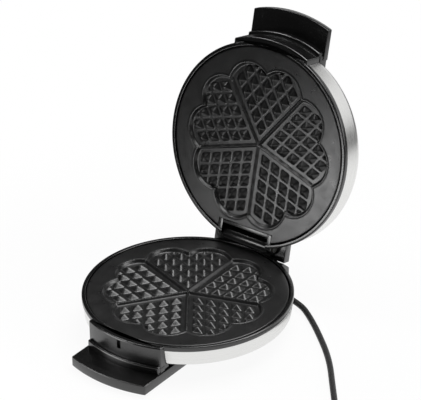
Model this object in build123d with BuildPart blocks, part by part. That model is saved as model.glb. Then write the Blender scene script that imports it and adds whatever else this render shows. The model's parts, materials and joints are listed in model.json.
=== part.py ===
from build123d import *
import math
import os

# Heart waffle maker: a round base with a hinged lid, each holding a cooking plate with five
# hearts. The lid stands open. Millimetres, with +Z up, the handles towards -Y and the hinge
# towards +Y. The origin is on the floor, under the middle of the open object's box.

# Driving sizes of the whole
disc_radius = 120.0
disc_offset = -27.6
part_gap = 0.3
open_angle = 103.6
hinge_behind = 115.9
hinge_above = 11.0
fit_gap = 0.3
running_gap = 0.05
slip_gap = 0.2

# Plastic casings
rim_width = 4.4
rim_height = 6.1
wall = 2.4
past = 1.0
base_depth = 44.0
dish_radius = 82.0
lid_wall_depth = 26.6
panel_depth = 42.2
panel_back = 60.0
floor_radius = 70.0
cover_radius = 78.0
cover_thickness = 2.0
cover_floor = 2.4
vent_circle = 41.0
vent_length = 31.0
lug_angles = (30, 150, 270)
lug_radius = 105.0
lug_width = 11.0
lug_bottom = 11.0

# Handles
handle_half = 50.0
tongue_half = 51.2
ledge_half = 49.2
block_radius = 125.5
ledge_radius = 129.0
ledge_depth = 23.0
tongue_reach = 154.3
tongue_root = 110.0
base_tongue_top = 32.3
lid_tongue_bottom = 34.0
keel_back = 60.0
pocket_back = 98.0
catch_width = 5.0
catch_depth = 10.0
catch_top = 2.6
catch_proud = 1.0

# Steel skins
steel = 0.5
band_top = 6.4
base_band_bottom = 23.9
band_radius = 119.6
band_low_radius = 117.4
skin_corner = 12.0
skin_top = 37.6
skin_crown = 0.8

# Cooking plates
plate_radius = 114.6
plate_recess = 1.2
plate_thickness = 4.0
boss_radius = 100.0
boss_depth = 11.0
floor_depth = 4.9
lobe_count = 10
lobe_circle = 67.0
lobe_radius = 29.0
flower_core = 72.0
ridge_half = 2.2
heart_count = 5
nub_pitch = 15.05
nub_offset = 5.3
nub_valley = 2.7
nub_height = 4.1
nub_taper = 50.0
nub_rows = 5
nub_last = 6
border = 1.8

# Heating, one set in each half
heater_radius = 62.0
heater_tube = 3.3
heater_span = 312.0
heater_leg = 13.0
shield_radius = 97.0
shield_thickness = 0.6
shield_depth = 18.0
shield_centre = 9.0
fuse_radius = 4.5
fuse_length = 16.0
fuse_height = 7.2
wire_radius = 1.3

# Hinge
barrel_radius = 8.0
barrel_half = 31.0
neck_thickness = 6.0
swing_radius = 13.0
cheek_thickness = 6.1
pin_radius = 2.5
bush_wall = 1.5
bush_flange = 0.3
clip_radius = 4.6
clip_thickness = 1.0
lid_block_back = 131.5
lid_block_front = 106.0
lid_block_bottom = 16.0
rear_block_back = 128.0
rear_top_depth = 5.6
rear_flat_end = 117.0
rear_slope_end = 15.5
frame_front = 98.0
rear_pocket_front = 88.0
neck_roof = 22.0

# Screws and feet
screw_radius = 1.5
head_radius = 3.0
head_height = 2.0
cover_screw_circle = 74.0
foot_radius = 7.5
foot_recess = 1.6
foot_height = 3.0
front_foot = (36.0, -88.0)
rear_foot = (38.0, 112.0)

# Browning control and lamps on the lid
dial_back = 84.0
dial_radius = 14.0
dial_height = 10.0
dial_taper = 4.0
panel_thickness = 3.6
dial_gap = 0.4
shaft_radius = 3.0
shaft_in_dial = 7.0
switch_radius = 12.0
switch_height = 11.6
lamp_side = 30.0
lamp_radius = 3.5
lamp_proud = 1.0
lens_round = 0.8
lamp_body_radius = 2.4
lamp_body_length = 7.0

# Mains lead
cord_diameter = 7.0
exit_y = 103.0
exit_height = 8.0
bushing_length = 20.0
bushing_radius = 5.2
bushing_tip = 4.2
clamp_width = 19.2
clamp_height = 7.0
coil_radius = 40.0
coil_pitch = 7.7
coil_lift = 7.5
turns_in = 1.25
turns_climb = 0.5
turns_out = 1.5
boot_length = 28.0
boot_radius = 4.3
boot_end_radius = 6.0
plug_length = 34.0
plug_width = 26.0
plug_height = 21.4
plug_corner = 4.8
plug_neck_width = 18.2
plug_neck_height = 16.5
plug_neck_length = 20.4
plug_pin_radius = 2.4
plug_pin_length = 19.0
plug_pin_spacing = 19.0

rim_inner = disc_radius - rim_width
cord_radius = cord_diameter / 2
half_gap = part_gap / 2
skin_gap = band_radius - steel - slip_gap
base_wall_low = band_low_radius - steel - slip_gap
parting_height = base_depth + foot_height
pocket_radius = tongue_reach - wall
pocket_half = handle_half - wall
floor_top = base_depth - cover_thickness - cover_floor
cheek_front = barrel_half + fit_gap
cheek_back = cheek_front + cheek_thickness
plate_bottom = plate_recess + plate_thickness
swing_front = hinge_behind - swing_radius - fit_gap
panel_under = panel_depth - panel_thickness
terminal_floor = base_depth - wall - foot_recess
bush_radius = pin_radius + running_gap + bush_wall
clip_place = cheek_back + bush_flange + running_gap
thread_length = wall - fit_gap
cover_screws = (45, 135, 225, 315)
handle_screws = [(side * handle_half / 2, -lug_radius - rim_width) for side in (-1, 1)]
tongue_floor = base_tongue_top + 2 * wall

os.makedirs("parts", exist_ok=True)


def swung(behind, above):
    """Where a point of the closed lid lies when the lid is open, from the hinge axis."""
    turn = math.radians(open_angle)
    return (
        behind * math.cos(turn) + above * math.sin(turn),
        above * math.cos(turn) - behind * math.sin(turn),
    )


# A half is a plane at the parting height whose Z runs into that half, away from the other
# one, and whose Y runs towards the hinge. The lid's plane is swung open about the hinge.
base_half = Plane((0, disc_offset, parting_height), x_dir=(-1, 0, 0), z_dir=(0, 0, -1))
lid_shift = swung(-hinge_behind, -hinge_above)
lid_up = swung(0, 1)
lid_half = Plane(
    (0, disc_offset + hinge_behind + lid_shift[0], parting_height + hinge_above + lid_shift[1]),
    x_dir=(1, 0, 0),
    z_dir=(0, lid_up[0], lid_up[1]),
)


def around(half):
    """The plane of a half in which X is the radius and Y is the depth."""
    return Plane(half.origin, x_dir=half.x_dir, z_dir=-half.y_dir)


def along(half, side=0.0):
    """A plane along a half, off to its side: X runs to the hinge and Y is the depth."""
    return Plane(half.origin + half.x_dir * side, x_dir=half.y_dir, z_dir=half.x_dir)


def centre_line(half):
    return Axis(half.origin, half.z_dir)


def save(part, name):
    part.label = name
    export_step(part, "parts/" + name + ".step")


def strip(half_width, front, back):
    """A straight-sided strip across a sketch, cut to what lies inside it."""
    with Locations((0, (front + back) / 2)):
        Rectangle(2 * half_width, back - front, mode=Mode.INTERSECT)


def cut_ends(half, front, back, half_width, top, bottom):
    """Cuts a straight-sided notch out of the part that is being made."""
    with BuildSketch(half.offset(top)) as notch:
        with Locations((0, (front + back) / 2)):
            Rectangle(2 * half_width, back - front)
    extrude(notch.sketch, amount=bottom - top, mode=Mode.SUBTRACT)


def lugs(half):
    """Three lugs on the wall that carry the cooking plate, each with a screw hole."""
    lug_start = boss_radius + fit_gap
    lug_end = rim_inner + wall / 2
    with BuildSketch(half.offset(plate_bottom)) as arms:
        for angle in lug_angles:
            with Locations(Location((0, 0, 0), (0, 0, angle))):
                with Locations(((lug_start + lug_end) / 2, 0)):
                    Rectangle(lug_end - lug_start, lug_width)
        Circle(lug_end, mode=Mode.INTERSECT)
    extrude(arms.sketch, amount=lug_bottom - plate_bottom)
    with BuildSketch(half.offset(plate_bottom)) as holes:
        for angle in lug_angles:
            with Locations(Location((0, 0, 0), (0, 0, angle))):
                with Locations((lug_radius, 0)):
                    Circle(screw_radius + slip_gap)
    extrude(holes.sketch, amount=lug_bottom - plate_bottom, mode=Mode.SUBTRACT)


def heart_directions(heart):
    """The directions of the two dividers beside a heart, counted from the hinge."""
    first = math.radians(90 + heart * 360 / heart_count)
    second = first + math.radians(360 / heart_count)
    return Vector(math.cos(first), math.sin(first)), Vector(math.cos(second), math.sin(second))


def flower(shrink=0.0):
    """The outline of the five hearts: ten equal lobes round a disc."""
    Circle(flower_core)
    with PolarLocations(lobe_circle, lobe_count):
        Circle(lobe_radius - shrink)


def nubs(half):
    """The pointed nubs of all hearts, in rows parallel to the dividers on both sides."""
    with BuildPart() as pegs:
        with BuildSketch(half.offset(floor_depth + slip_gap)):
            for heart in range(heart_count):
                first, second = heart_directions(heart)
                edge = (nub_pitch - nub_valley / math.sin(math.radians(360 / heart_count))) / 2
                for row in range(nub_rows):
                    for place in range(nub_rows):
                        if row + place > nub_last or row == place == nub_rows - 2:
                            continue
                        middle = first * (nub_offset + nub_pitch * (row + 0.5))
                        middle += second * (nub_offset + nub_pitch * (place + 0.5))
                        corners = [
                            middle + first * edge + second * edge,
                            middle - first * edge + second * edge,
                            middle - first * edge - second * edge,
                            middle + first * edge - second * edge,
                        ]
                        Polygon(*[(corner.X, corner.Y) for corner in corners], align=None)
        extrude(amount=-(nub_height + slip_gap), taper=nub_taper)
        with BuildSketch(half.offset(floor_depth + past)):
            flower(border)
        extrude(amount=-(floor_depth + past), mode=Mode.INTERSECT)
    return pegs.part


def cooking_plate(half, name, notch):
    """A cast plate: a flat flange, a sunk flower with dividers and nubs, and a boss behind it."""
    pegs = nubs(half)
    with BuildPart() as plate:
        with BuildSketch(half.offset(plate_recess)):
            Circle(plate_radius)
        extrude(amount=plate_thickness)
        with BuildSketch(half.offset(plate_bottom)):
            Circle(boss_radius)
        extrude(amount=boss_depth - plate_bottom)
        with BuildSketch(half.offset(plate_recess)):
            flower()
        extrude(amount=floor_depth - plate_recess, mode=Mode.SUBTRACT)
        for heart in range(heart_count):
            direction = heart_directions(heart)[0]
            outward = half.x_dir * direction.X + half.y_dir * direction.Y
            with BuildSketch(Plane(half.origin, x_dir=half.z_dir, z_dir=outward)):
                Polygon(
                    (floor_depth + slip_gap, -ridge_half),
                    (floor_depth + slip_gap, ridge_half),
                    (plate_recess, 0),
                    align=None,
                )
            extrude(amount=lobe_circle + ledge_radius - block_radius + lobe_radius / 2)
        add(pegs)
        if notch:
            notch_half = cheek_back + fit_gap
            cut_ends(half, frame_front - fit_gap, disc_radius, notch_half, 0, boss_depth)
        with BuildSketch(around(half)):
            with Locations((heater_radius, boss_depth)):
                Circle(heater_tube + running_gap)
        revolve(axis=centre_line(half), mode=Mode.SUBTRACT)
        with BuildSketch(half.offset(plate_bottom - wall)):
            for angle in lug_angles:
                with Locations(Location((0, 0, 0), (0, 0, angle))):
                    with Locations((lug_radius, 0)):
                        Circle(screw_radius + running_gap)
        extrude(amount=wall, mode=Mode.SUBTRACT)
        with BuildSketch(half.offset(boss_depth - wall)):
            Circle(screw_radius + running_gap)
        extrude(amount=wall, mode=Mode.SUBTRACT)
    save(plate.part, name + "_cooking_plate")


def heater(half, name):
    """A tubular heating element: a ring pressed half into the plate, with two legs away from it."""
    ring = half.offset(boss_depth)
    start = math.radians(90 + (360 - heater_span) / 2)
    outward = half.x_dir * math.cos(start) + half.y_dir * math.sin(start)
    with BuildPart() as element:
        with BuildSketch(Plane(half.origin, x_dir=outward, z_dir=outward.cross(half.z_dir))):
            with Locations((heater_radius, boss_depth)):
                Circle(heater_tube)
        revolve(axis=centre_line(half), revolution_arc=heater_span)
        with BuildSketch(ring):
            for end in (start, start + math.radians(heater_span)):
                with Locations((heater_radius * math.cos(end), heater_radius * math.sin(end))):
                    Circle(heater_tube)
        extrude(amount=heater_leg)
    save(element.part, name + "_heater")
    with BuildPart() as ends:
        with BuildSketch(ring.offset(heater_leg)):
            for end in (start, start + math.radians(heater_span)):
                with Locations((heater_radius * math.cos(end), heater_radius * math.sin(end))):
                    Circle(heater_tube / 2)
        extrude(amount=heater_tube * 2)
    save(ends.part, name + "_heater_terminals")


def heat_shield(half, name):
    """A pressed sheet behind the heater, held to the boss by one screw, with holes for the legs."""
    rise = shield_depth - boss_depth
    with BuildPart() as shield:
        with BuildSketch(around(half)):
            with BuildLine():
                Polyline(
                    (0, boss_depth),
                    (shield_centre, boss_depth),
                    (shield_centre + rise, shield_depth),
                    (shield_radius, shield_depth),
                    (shield_radius, shield_depth + shield_thickness),
                    (shield_centre + rise - shield_thickness / 2, shield_depth + shield_thickness),
                    (shield_centre - shield_thickness / 2, boss_depth + shield_thickness),
                    (0, boss_depth + shield_thickness),
                    close=True,
                )
            make_face()
        revolve(axis=centre_line(half))
        with BuildSketch(half.offset(boss_depth)):
            Circle(screw_radius + slip_gap)
            for end in (90 + (360 - heater_span) / 2, 90 + (360 + heater_span) / 2):
                with Locations(Location((0, 0, 0), (0, 0, end))):
                    with Locations((heater_radius, 0)):
                        Circle(heater_tube + 2 * fit_gap)
        extrude(amount=rise + 2 * shield_thickness, mode=Mode.SUBTRACT)
        shield_back = shield_depth + wall
        cut_ends(half, swing_front, disc_radius, cheek_back + wall, boss_depth + past, shield_back)
    save(shield.part, name + "_heat_shield")
    under_head = boss_depth + shield_thickness
    screws(half, name + "_shield_screw", under_head, shield_thickness + thread_length, [(0, 0)])


def screws(half, name, under_head, shank, places):
    """Pan-head screws: heads past a depth, shanks running back towards the parting."""
    with BuildPart() as group:
        with BuildSketch(half.offset(under_head)):
            with Locations(*places):
                Circle(head_radius)
        extrude(amount=head_height)
        fillet(group.edges().group_by(centre_line(half))[-1], head_height / 3)
        with BuildSketch(half.offset(under_head)):
            with Locations(*places):
                Circle(screw_radius)
        extrude(amount=-shank)
    save(group.part, name)


def polar(radius, angles):
    return [
        (radius * math.cos(math.radians(angle)), radius * math.sin(math.radians(angle)))
        for angle in angles
    ]


# Base casing: a dish with a rim, the handle in front and the hinge block behind
with BuildPart() as base_housing:
    with BuildSketch(around(base_half)):
        with BuildLine():
            Polyline(
                (0, half_gap),
                (disc_radius, half_gap),
                (disc_radius, rim_height),
                (skin_gap, rim_height),
                (base_wall_low, base_band_bottom + part_gap),
                (dish_radius, base_depth),
                (0, base_depth),
                close=True,
            )
        make_face()
    revolve(axis=centre_line(base_half))
    with BuildSketch(base_half.offset(base_tongue_top)):
        Circle(tongue_reach)
        strip(tongue_half, -tongue_reach, -keel_back)
    extrude(amount=base_depth - base_tongue_top)
    fillet(base_housing.edges().filter_by(Axis.Z).sort_by(Axis.Y)[:2], wall)
    with BuildSketch(base_half.offset(half_gap)):
        Circle(block_radius)
        strip(handle_half, -block_radius, -keel_back)
    extrude(amount=base_tongue_top - half_gap)
    with BuildSketch(base_half.offset(ledge_depth)):
        Circle(ledge_radius)
        strip(ledge_half, -ledge_radius, -keel_back)
    extrude(amount=base_tongue_top - ledge_depth)
    with BuildSketch(along(base_half)):
        Polygon(
            (keel_back, rear_top_depth),
            (rear_flat_end, rear_top_depth),
            (rear_block_back, rear_slope_end),
            (rear_block_back, base_depth),
            (keel_back, base_depth),
            align=None,
        )
    extrude(amount=handle_half, both=True)
    with BuildSketch(around(base_half)):
        with BuildLine():
            Polyline(
                (0, 0),
                (rim_inner, 0),
                (rim_inner, rim_height),
                (base_wall_low - wall, base_band_bottom - wall / 2),
                (dish_radius + wall, floor_top),
                (floor_radius, floor_top),
                (floor_radius, base_depth - cover_thickness),
                (cover_radius + fit_gap, base_depth - cover_thickness),
                (cover_radius + fit_gap, base_depth + past),
                (0, base_depth + past),
                close=True,
            )
        make_face()
    revolve(axis=centre_line(base_half), mode=Mode.SUBTRACT)
    with BuildSketch(along(base_half)):
        Polygon(
            (rear_pocket_front, rear_top_depth + wall),
            (rear_flat_end - wall / 2, rear_top_depth + wall),
            (rear_block_back - wall, rear_slope_end + wall / 2),
            (rear_block_back - wall, terminal_floor),
            (rear_pocket_front, terminal_floor),
            align=None,
        )
    extrude(amount=pocket_half, both=True, mode=Mode.SUBTRACT)
    with BuildSketch(base_half.offset(rim_height + wall)):
        Circle(block_radius - wall)
        Circle(rim_inner + wall, mode=Mode.SUBTRACT)
        strip(pocket_half, -block_radius, -keel_back)
    extrude(amount=base_tongue_top - rim_height - wall, mode=Mode.SUBTRACT)
    with BuildSketch(base_half.offset(base_tongue_top + wall)):
        Circle(pocket_radius)
        strip(pocket_half, -tongue_reach, -pocket_back)
    extrude(amount=base_depth - base_tongue_top, mode=Mode.SUBTRACT)
    with BuildSketch(base_half.offset(base_tongue_top + wall)):
        with Locations(*handle_screws):
            Circle(head_radius + wall)
    extrude(amount=base_depth - cover_thickness - base_tongue_top - wall)
    lugs(base_half)
    with BuildSketch(along(base_half)):
        Polygon(
            (hinge_behind, rear_top_depth + past),
            (hinge_behind, -hinge_above),
            (hinge_behind + neck_thickness, -hinge_above),
            (hinge_behind + neck_thickness, rear_slope_end),
            align=None,
        )
        with Locations((hinge_behind, -hinge_above)):
            Circle(barrel_radius)
    extrude(amount=barrel_half, both=True)
    with BuildSketch(along(base_half)):
        with Locations((hinge_behind, -hinge_above)):
            Circle(pin_radius)
    extrude(amount=barrel_half, both=True, mode=Mode.SUBTRACT)
    catch_bottom = catch_top + catch_depth
    cut_ends(base_half, -ledge_radius, -block_radius + wall, catch_width / 2, catch_top, catch_bottom)
    with BuildSketch(base_half.offset(base_depth - foot_recess)):
        with Locations(*[(side * x, y) for side in (-1, 1) for x, y in (front_foot, rear_foot)]):
            Circle(foot_radius + fit_gap)
    extrude(amount=foot_recess, mode=Mode.SUBTRACT)
    with BuildSketch(base_half.offset(floor_top)):
        with Locations(*polar(cover_screw_circle, cover_screws)):
            Circle(screw_radius + running_gap)
    extrude(amount=cover_floor, mode=Mode.SUBTRACT)
    with BuildSketch(base_half.offset(tongue_floor)):
        with Locations(*handle_screws):
            Circle(screw_radius + running_gap)
    extrude(amount=base_depth, mode=Mode.SUBTRACT)
    exit_place = Plane(
        (handle_half - wall, disc_offset + exit_y, exit_height), x_dir=(0, 1, 0), z_dir=(1, 0, 0)
    )
    with BuildSketch(exit_place):
        Circle(cord_radius + wall / 2)
    extrude(amount=wall, mode=Mode.SUBTRACT)
save(base_housing.part, "base_housing")

# Steel band round the base, in two lengths between the handle and the hinge block
with BuildPart() as base_steel_band:
    with BuildSketch(around(base_half)):
        Polygon(
            (band_radius - steel, band_top),
            (band_radius, band_top),
            (band_low_radius, base_band_bottom),
            (band_low_radius - steel, base_band_bottom),
            align=None,
        )
    revolve(axis=centre_line(base_half))
    cut_ends(base_half, -disc_radius, disc_radius, handle_half + fit_gap, 0, base_depth)
save(base_steel_band.part, "base_steel_band")

# Round cover under the base, with vent slots
with BuildPart() as bottom_cover:
    with BuildSketch(base_half.offset(base_depth - cover_thickness)):
        Circle(cover_radius)
        with Locations(*polar(cover_screw_circle, cover_screws)):
            Circle(screw_radius + slip_gap, mode=Mode.SUBTRACT)
        for angle in (0, 60, 120):
            with PolarLocations(vent_circle, 2, start_angle=angle):
                SlotOverall(vent_length, wall, rotation=90, mode=Mode.SUBTRACT)
    extrude(amount=cover_thickness)
save(bottom_cover.part, "bottom_cover")

# Cover plate under the handle
with BuildPart() as handle_cover:
    with BuildSketch(base_half.offset(base_depth - cover_thickness)):
        Circle(pocket_radius - slip_gap)
        strip(pocket_half - slip_gap, -tongue_reach, -pocket_back - slip_gap)
        with Locations(*handle_screws):
            Circle(screw_radius + slip_gap, mode=Mode.SUBTRACT)
    extrude(amount=cover_thickness)
save(handle_cover.part, "handle_cover")

# Rubber feet, each seated in its own recess
for end, (foot_x, foot_y) in (("front", front_foot), ("rear", rear_foot)):
    for side, sign in (("left", 1), ("right", -1)):
        with BuildPart() as foot:
            with BuildSketch(base_half.offset(base_depth - foot_recess)):
                with Locations((sign * foot_x, foot_y)):
                    Circle(foot_radius)
            extrude(amount=foot_recess + foot_height)
            chamfer(foot.edges().sort_by(Axis.Z)[0], foot_height / 4)
        save(foot.part, "foot_" + end + "_" + side)

# Screws of the base
cover_grip = cover_thickness + cover_floor
cover_places = polar(cover_screw_circle, cover_screws)
screws(base_half, "bottom_cover_screws", base_depth, cover_grip, cover_places)
handle_grip = base_depth - tongue_floor - fit_gap
screws(base_half, "handle_cover_screws", base_depth, handle_grip, handle_screws)
plate_grip = lug_bottom - plate_bottom + thread_length
screws(base_half, "base_plate_screws", lug_bottom, plate_grip, polar(lug_radius, lug_angles))
cooking_plate(base_half, "base", False)
heater(base_half, "base")
heat_shield(base_half, "base")

# Hinge pin, pressed through the base's barrel, with a clip on each end
with BuildPart() as hinge_pin:
    with BuildSketch(along(base_half)):
        with Locations((hinge_behind, -hinge_above)):
            Circle(pin_radius)
    extrude(amount=clip_place + 2 * clip_thickness, both=True)
save(hinge_pin.part, "hinge_pin")
with BuildPart() as hinge_clips:
    for side in (-1, 1):
        with BuildSketch(along(base_half, side * clip_place)):
            with Locations((hinge_behind, -hinge_above)):
                Circle(clip_radius)
                Circle(pin_radius, mode=Mode.SUBTRACT)
        extrude(amount=side * clip_thickness)
save(hinge_clips.part, "hinge_clips")

# Terminal block and thermal fuse inside the base
block_size = (34.0, 16.0, 12.0)
block_y = frame_front + wall + block_size[1] / 2
with BuildPart() as terminal_block:
    with BuildSketch(base_half.offset(terminal_floor)):
        with Locations((0, block_y)):
            Rectangle(block_size[0], block_size[1])
    extrude(amount=-block_size[2])
    with BuildSketch(base_half.offset(terminal_floor - block_size[2])):
        with GridLocations(block_size[0] / 3, block_size[1] / 2, 3, 2):
            with Locations((0, block_y)):
                Circle(screw_radius)
    extrude(amount=head_height, mode=Mode.SUBTRACT)
save(terminal_block.part, "terminal_block")


def thermal_fuse(half, name):
    """A small sealed fuse clipped to the front of the heat shield's back."""
    with BuildPart() as fuse:
        with BuildSketch(half.offset(shield_depth + shield_thickness)):
            with Locations((0, -heater_radius / 2)):
                SlotOverall(fuse_length + 2 * fuse_radius, 2 * fuse_radius)
        extrude(amount=fuse_height)
    save(fuse.part, name + "_thermal_fuse")


thermal_fuse(base_half, "base")


# Leads from the terminal block to the heater's two terminals
def lead(half, points, radius):
    """A round wire along straight runs with tangent arcs."""
    with BuildPart() as wire:
        with BuildLine() as path:
            FilletPolyline(*[half.from_local_coords(point) for point in points], radius=1.25 * radius)
        with BuildSketch(Plane(path.line @ 0, z_dir=path.line % 0)):
            Circle(radius)
        sweep(path=path.line)
    return wire.part


leg_x = heater_radius * math.sin(math.radians((360 - heater_span) / 2))
leg_y = heater_radius * math.cos(math.radians((360 - heater_span) / 2))
leg_end = boss_depth + heater_leg + 2 * heater_tube
wire_depth = terminal_floor - block_size[2] / 2
with BuildPart() as base_leads:
    for side in (-1, 1):
        add(
            lead(
                base_half,
                [
                    (side * leg_x, leg_y, leg_end),
                    (side * leg_x, leg_y, wire_depth),
                    (side * block_size[0] / 3, leg_y + 4 * wall, wire_depth),
                    (side * block_size[0] / 3, block_y - block_size[1] / 2, wire_depth),
                ],
                wire_radius,
            )
        )
save(base_leads.part, "base_leads")

# Lid casing: a ring with a rim, the handle and control panel in front, the hinge block behind
with BuildPart() as lid_housing:
    with BuildSketch(around(lid_half)):
        Polygon(
            (rim_inner, half_gap),
            (disc_radius, half_gap),
            (disc_radius, rim_height),
            (skin_gap, rim_height),
            (skin_gap, lid_wall_depth - wall / 2),
            (rim_inner, lid_wall_depth - wall / 2),
            align=None,
        )
    revolve(axis=centre_line(lid_half))
    with BuildSketch(lid_half.offset(half_gap)):
        Circle(block_radius)
        Circle(rim_inner, mode=Mode.SUBTRACT)
        strip(handle_half, -block_radius, -panel_back)
    extrude(amount=lid_tongue_bottom - half_gap)
    with BuildSketch(lid_half.offset(ledge_depth + wall)):
        Circle(ledge_radius)
        Circle(rim_inner, mode=Mode.SUBTRACT)
        strip(ledge_half, -ledge_radius, -panel_back)
    extrude(amount=lid_tongue_bottom - ledge_depth - wall)
    with BuildSketch(lid_half.offset(lid_tongue_bottom)):
        Circle(tongue_reach)
        strip(tongue_half, -tongue_reach, -tongue_root)
    extrude(amount=panel_depth - lid_tongue_bottom)
    upright = lid_housing.edges().filter_by(centre_line(lid_half))
    fillet(upright.group_by(Axis(lid_half.origin, lid_half.y_dir))[0], wall)
    with BuildSketch(lid_half.offset(lid_wall_depth + wall)):
        Circle(block_radius)
        strip(handle_half, -block_radius, -panel_back)
    extrude(amount=panel_depth - lid_wall_depth - wall)
    with BuildSketch(lid_half.offset(lid_wall_depth - wall)):
        Circle(block_radius - wall)
        strip(pocket_half, -block_radius, -panel_back - wall)
    extrude(amount=panel_under - lid_wall_depth + wall, mode=Mode.SUBTRACT)
    with BuildSketch(lid_half.offset(rim_height + wall)):
        Circle(block_radius - wall)
        Circle(rim_inner + wall, mode=Mode.SUBTRACT)
        strip(pocket_half, -block_radius, -panel_back)
    extrude(amount=lid_wall_depth - rim_height, mode=Mode.SUBTRACT)
    lugs(lid_half)
    with BuildSketch(along(lid_half)):
        Polygon(
            (lid_block_front, lid_block_bottom),
            (lid_block_back, lid_block_bottom),
            (lid_block_back, lid_wall_depth),
            (lid_block_front, lid_wall_depth),
            align=None,
        )
    extrude(amount=handle_half, both=True)
    with BuildSketch(along(lid_half)):
        Polygon(
            (frame_front, plate_recess),
            (hinge_behind, plate_recess),
            (hinge_behind + barrel_radius, lid_block_bottom + wall),
            (frame_front, lid_block_bottom + wall),
            align=None,
        )
        with Locations((hinge_behind, hinge_above)):
            Circle(barrel_radius)
    extrude(amount=cheek_back, both=True)
    with BuildSketch(along(lid_half)):
        with Locations((hinge_behind, hinge_above)):
            Circle(swing_radius)
        Polygon(
            (hinge_behind - swing_radius, hinge_above),
            (hinge_behind - swing_radius, -past),
            (lid_block_back + wall, -past),
            (lid_block_back + wall, neck_roof),
            (hinge_behind, neck_roof),
            align=None,
        )
    extrude(amount=cheek_front, both=True, mode=Mode.SUBTRACT)
    with BuildSketch(along(lid_half)):
        with Locations((hinge_behind, hinge_above)):
            Circle(bush_radius)
    extrude(amount=cheek_back, both=True, mode=Mode.SUBTRACT)
    for side in (-1, 1):
        with BuildSketch(along(lid_half, side * cheek_back)):
            with Locations((hinge_behind, hinge_above)):
                Circle(clip_radius + fit_gap)
        extrude(amount=side * (handle_half - cheek_back) / 2, mode=Mode.SUBTRACT)
    with BuildSketch(lid_half.offset(panel_under - past)):
        with Locations((0, -dial_back)):
            Circle(shaft_radius + slip_gap)
        with Locations((-lamp_side, -dial_back), (lamp_side, -dial_back)):
            Circle(lamp_radius + running_gap)
    extrude(amount=panel_thickness + 2 * past, mode=Mode.SUBTRACT)
    with BuildSketch(lid_half.offset(catch_top)):
        with Locations((0, -block_radius)):
            Rectangle(catch_width - 2 * fit_gap, 2 * catch_proud)
    extrude(amount=catch_depth)
save(lid_housing.part, "lid_housing")

# Brushed steel skin over the lid, notched for the panel and the hinge block
with BuildPart() as lid_steel_cover:
    with BuildSketch(around(lid_half)):
        with BuildLine():
            inner = band_radius - steel
            bend = skin_corner - steel
            flat = band_radius - skin_corner
            Line((inner, band_top), (band_radius, band_top))
            Line((band_radius, band_top), (band_radius, skin_top - skin_corner))
            CenterArc((flat, skin_top - skin_corner), skin_corner, 0, 90)
            Line((flat, skin_top), (0, skin_top + skin_crown))
            Line((0, skin_top + skin_crown), (0, skin_top + skin_crown - steel))
            Line((0, skin_top + skin_crown - steel), (flat, skin_top - steel))
            CenterArc((flat, skin_top - skin_corner), bend, 90, -90)
            Line((inner, skin_top - skin_corner), (inner, band_top))
        make_face()
    revolve(axis=centre_line(lid_half))
    cut_ends(lid_half, -disc_radius, -panel_back + fit_gap, handle_half + fit_gap, 0, panel_depth)
    cut_ends(lid_half, panel_back, disc_radius, handle_half + fit_gap, 0, lid_wall_depth + fit_gap)
save(lid_steel_cover.part, "lid_steel_cover")

# Plate, heater and shield of the lid
cooking_plate(lid_half, "lid", True)
heater(lid_half, "lid")
heat_shield(lid_half, "lid")
screws(lid_half, "lid_plate_screws", lug_bottom, plate_grip, polar(lug_radius, lug_angles))
thermal_fuse(lid_half, "lid")

# Hinge bushes, pressed into the lid's cheeks
for side, sign in (("left", -1), ("right", 1)):
    with BuildPart() as bush:
        with BuildSketch(along(lid_half, sign * cheek_front)):
            with Locations((hinge_behind, hinge_above)):
                Circle(bush_radius)
                Circle(pin_radius + running_gap, mode=Mode.SUBTRACT)
        extrude(amount=sign * cheek_thickness)
        with BuildSketch(along(lid_half, sign * cheek_back)):
            with Locations((hinge_behind, hinge_above)):
                Circle(clip_radius)
                Circle(pin_radius + running_gap, mode=Mode.SUBTRACT)
        extrude(amount=sign * bush_flange)
    save(bush.part, "hinge_bush_" + side)

# Browning control: thermostat under the panel, its shaft and the dial above it
with BuildPart() as thermostat:
    with BuildSketch(lid_half.offset(panel_under)):
        with Locations((0, -dial_back)):
            Circle(switch_radius)
    extrude(amount=-switch_height)
    with BuildSketch(lid_half.offset(panel_under)):
        with Locations((0, -dial_back)):
            Circle(shaft_radius + running_gap)
    extrude(amount=-switch_height / 2, mode=Mode.SUBTRACT)
save(thermostat.part, "thermostat")
shaft_start = panel_under - switch_height / 2 + running_gap
with BuildPart() as dial_shaft:
    with BuildSketch(lid_half.offset(shaft_start)):
        with Locations((0, -dial_back)):
            Circle(shaft_radius)
    extrude(amount=panel_depth + dial_gap + shaft_in_dial - shaft_start)
save(dial_shaft.part, "dial_shaft")
with BuildPart() as browning_dial:
    with BuildSketch(lid_half.offset(panel_depth + dial_gap)):
        with Locations((0, -dial_back)):
            Circle(dial_radius)
    extrude(amount=dial_height, taper=dial_taper)
    fillet(browning_dial.edges().group_by(centre_line(lid_half))[-1], wall / 2)
    with BuildSketch(lid_half.offset(panel_depth + dial_gap)):
        with Locations((0, -dial_back)):
            Circle(shaft_radius)
    extrude(amount=shaft_in_dial, mode=Mode.SUBTRACT)
save(browning_dial.part, "browning_dial")

# Power and ready lamps: a lens in the panel and a small lamp behind each
for name, sign in (("power_lamp", -1), ("ready_lamp", 1)):
    with BuildPart() as lens:
        with BuildSketch(lid_half.offset(panel_under)):
            with Locations((sign * lamp_side, -dial_back)):
                Circle(lamp_radius)
        extrude(amount=panel_depth + lamp_proud - panel_under)
        fillet(lens.edges().group_by(centre_line(lid_half))[-1], lens_round)
    save(lens.part, name + "_lens")
    with BuildPart() as lamp:
        with BuildSketch(lid_half.offset(panel_under)):
            with Locations((sign * lamp_side, -dial_back)):
                Circle(lamp_body_radius)
        extrude(amount=-lamp_body_length)
    save(lamp.part, name)

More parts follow.
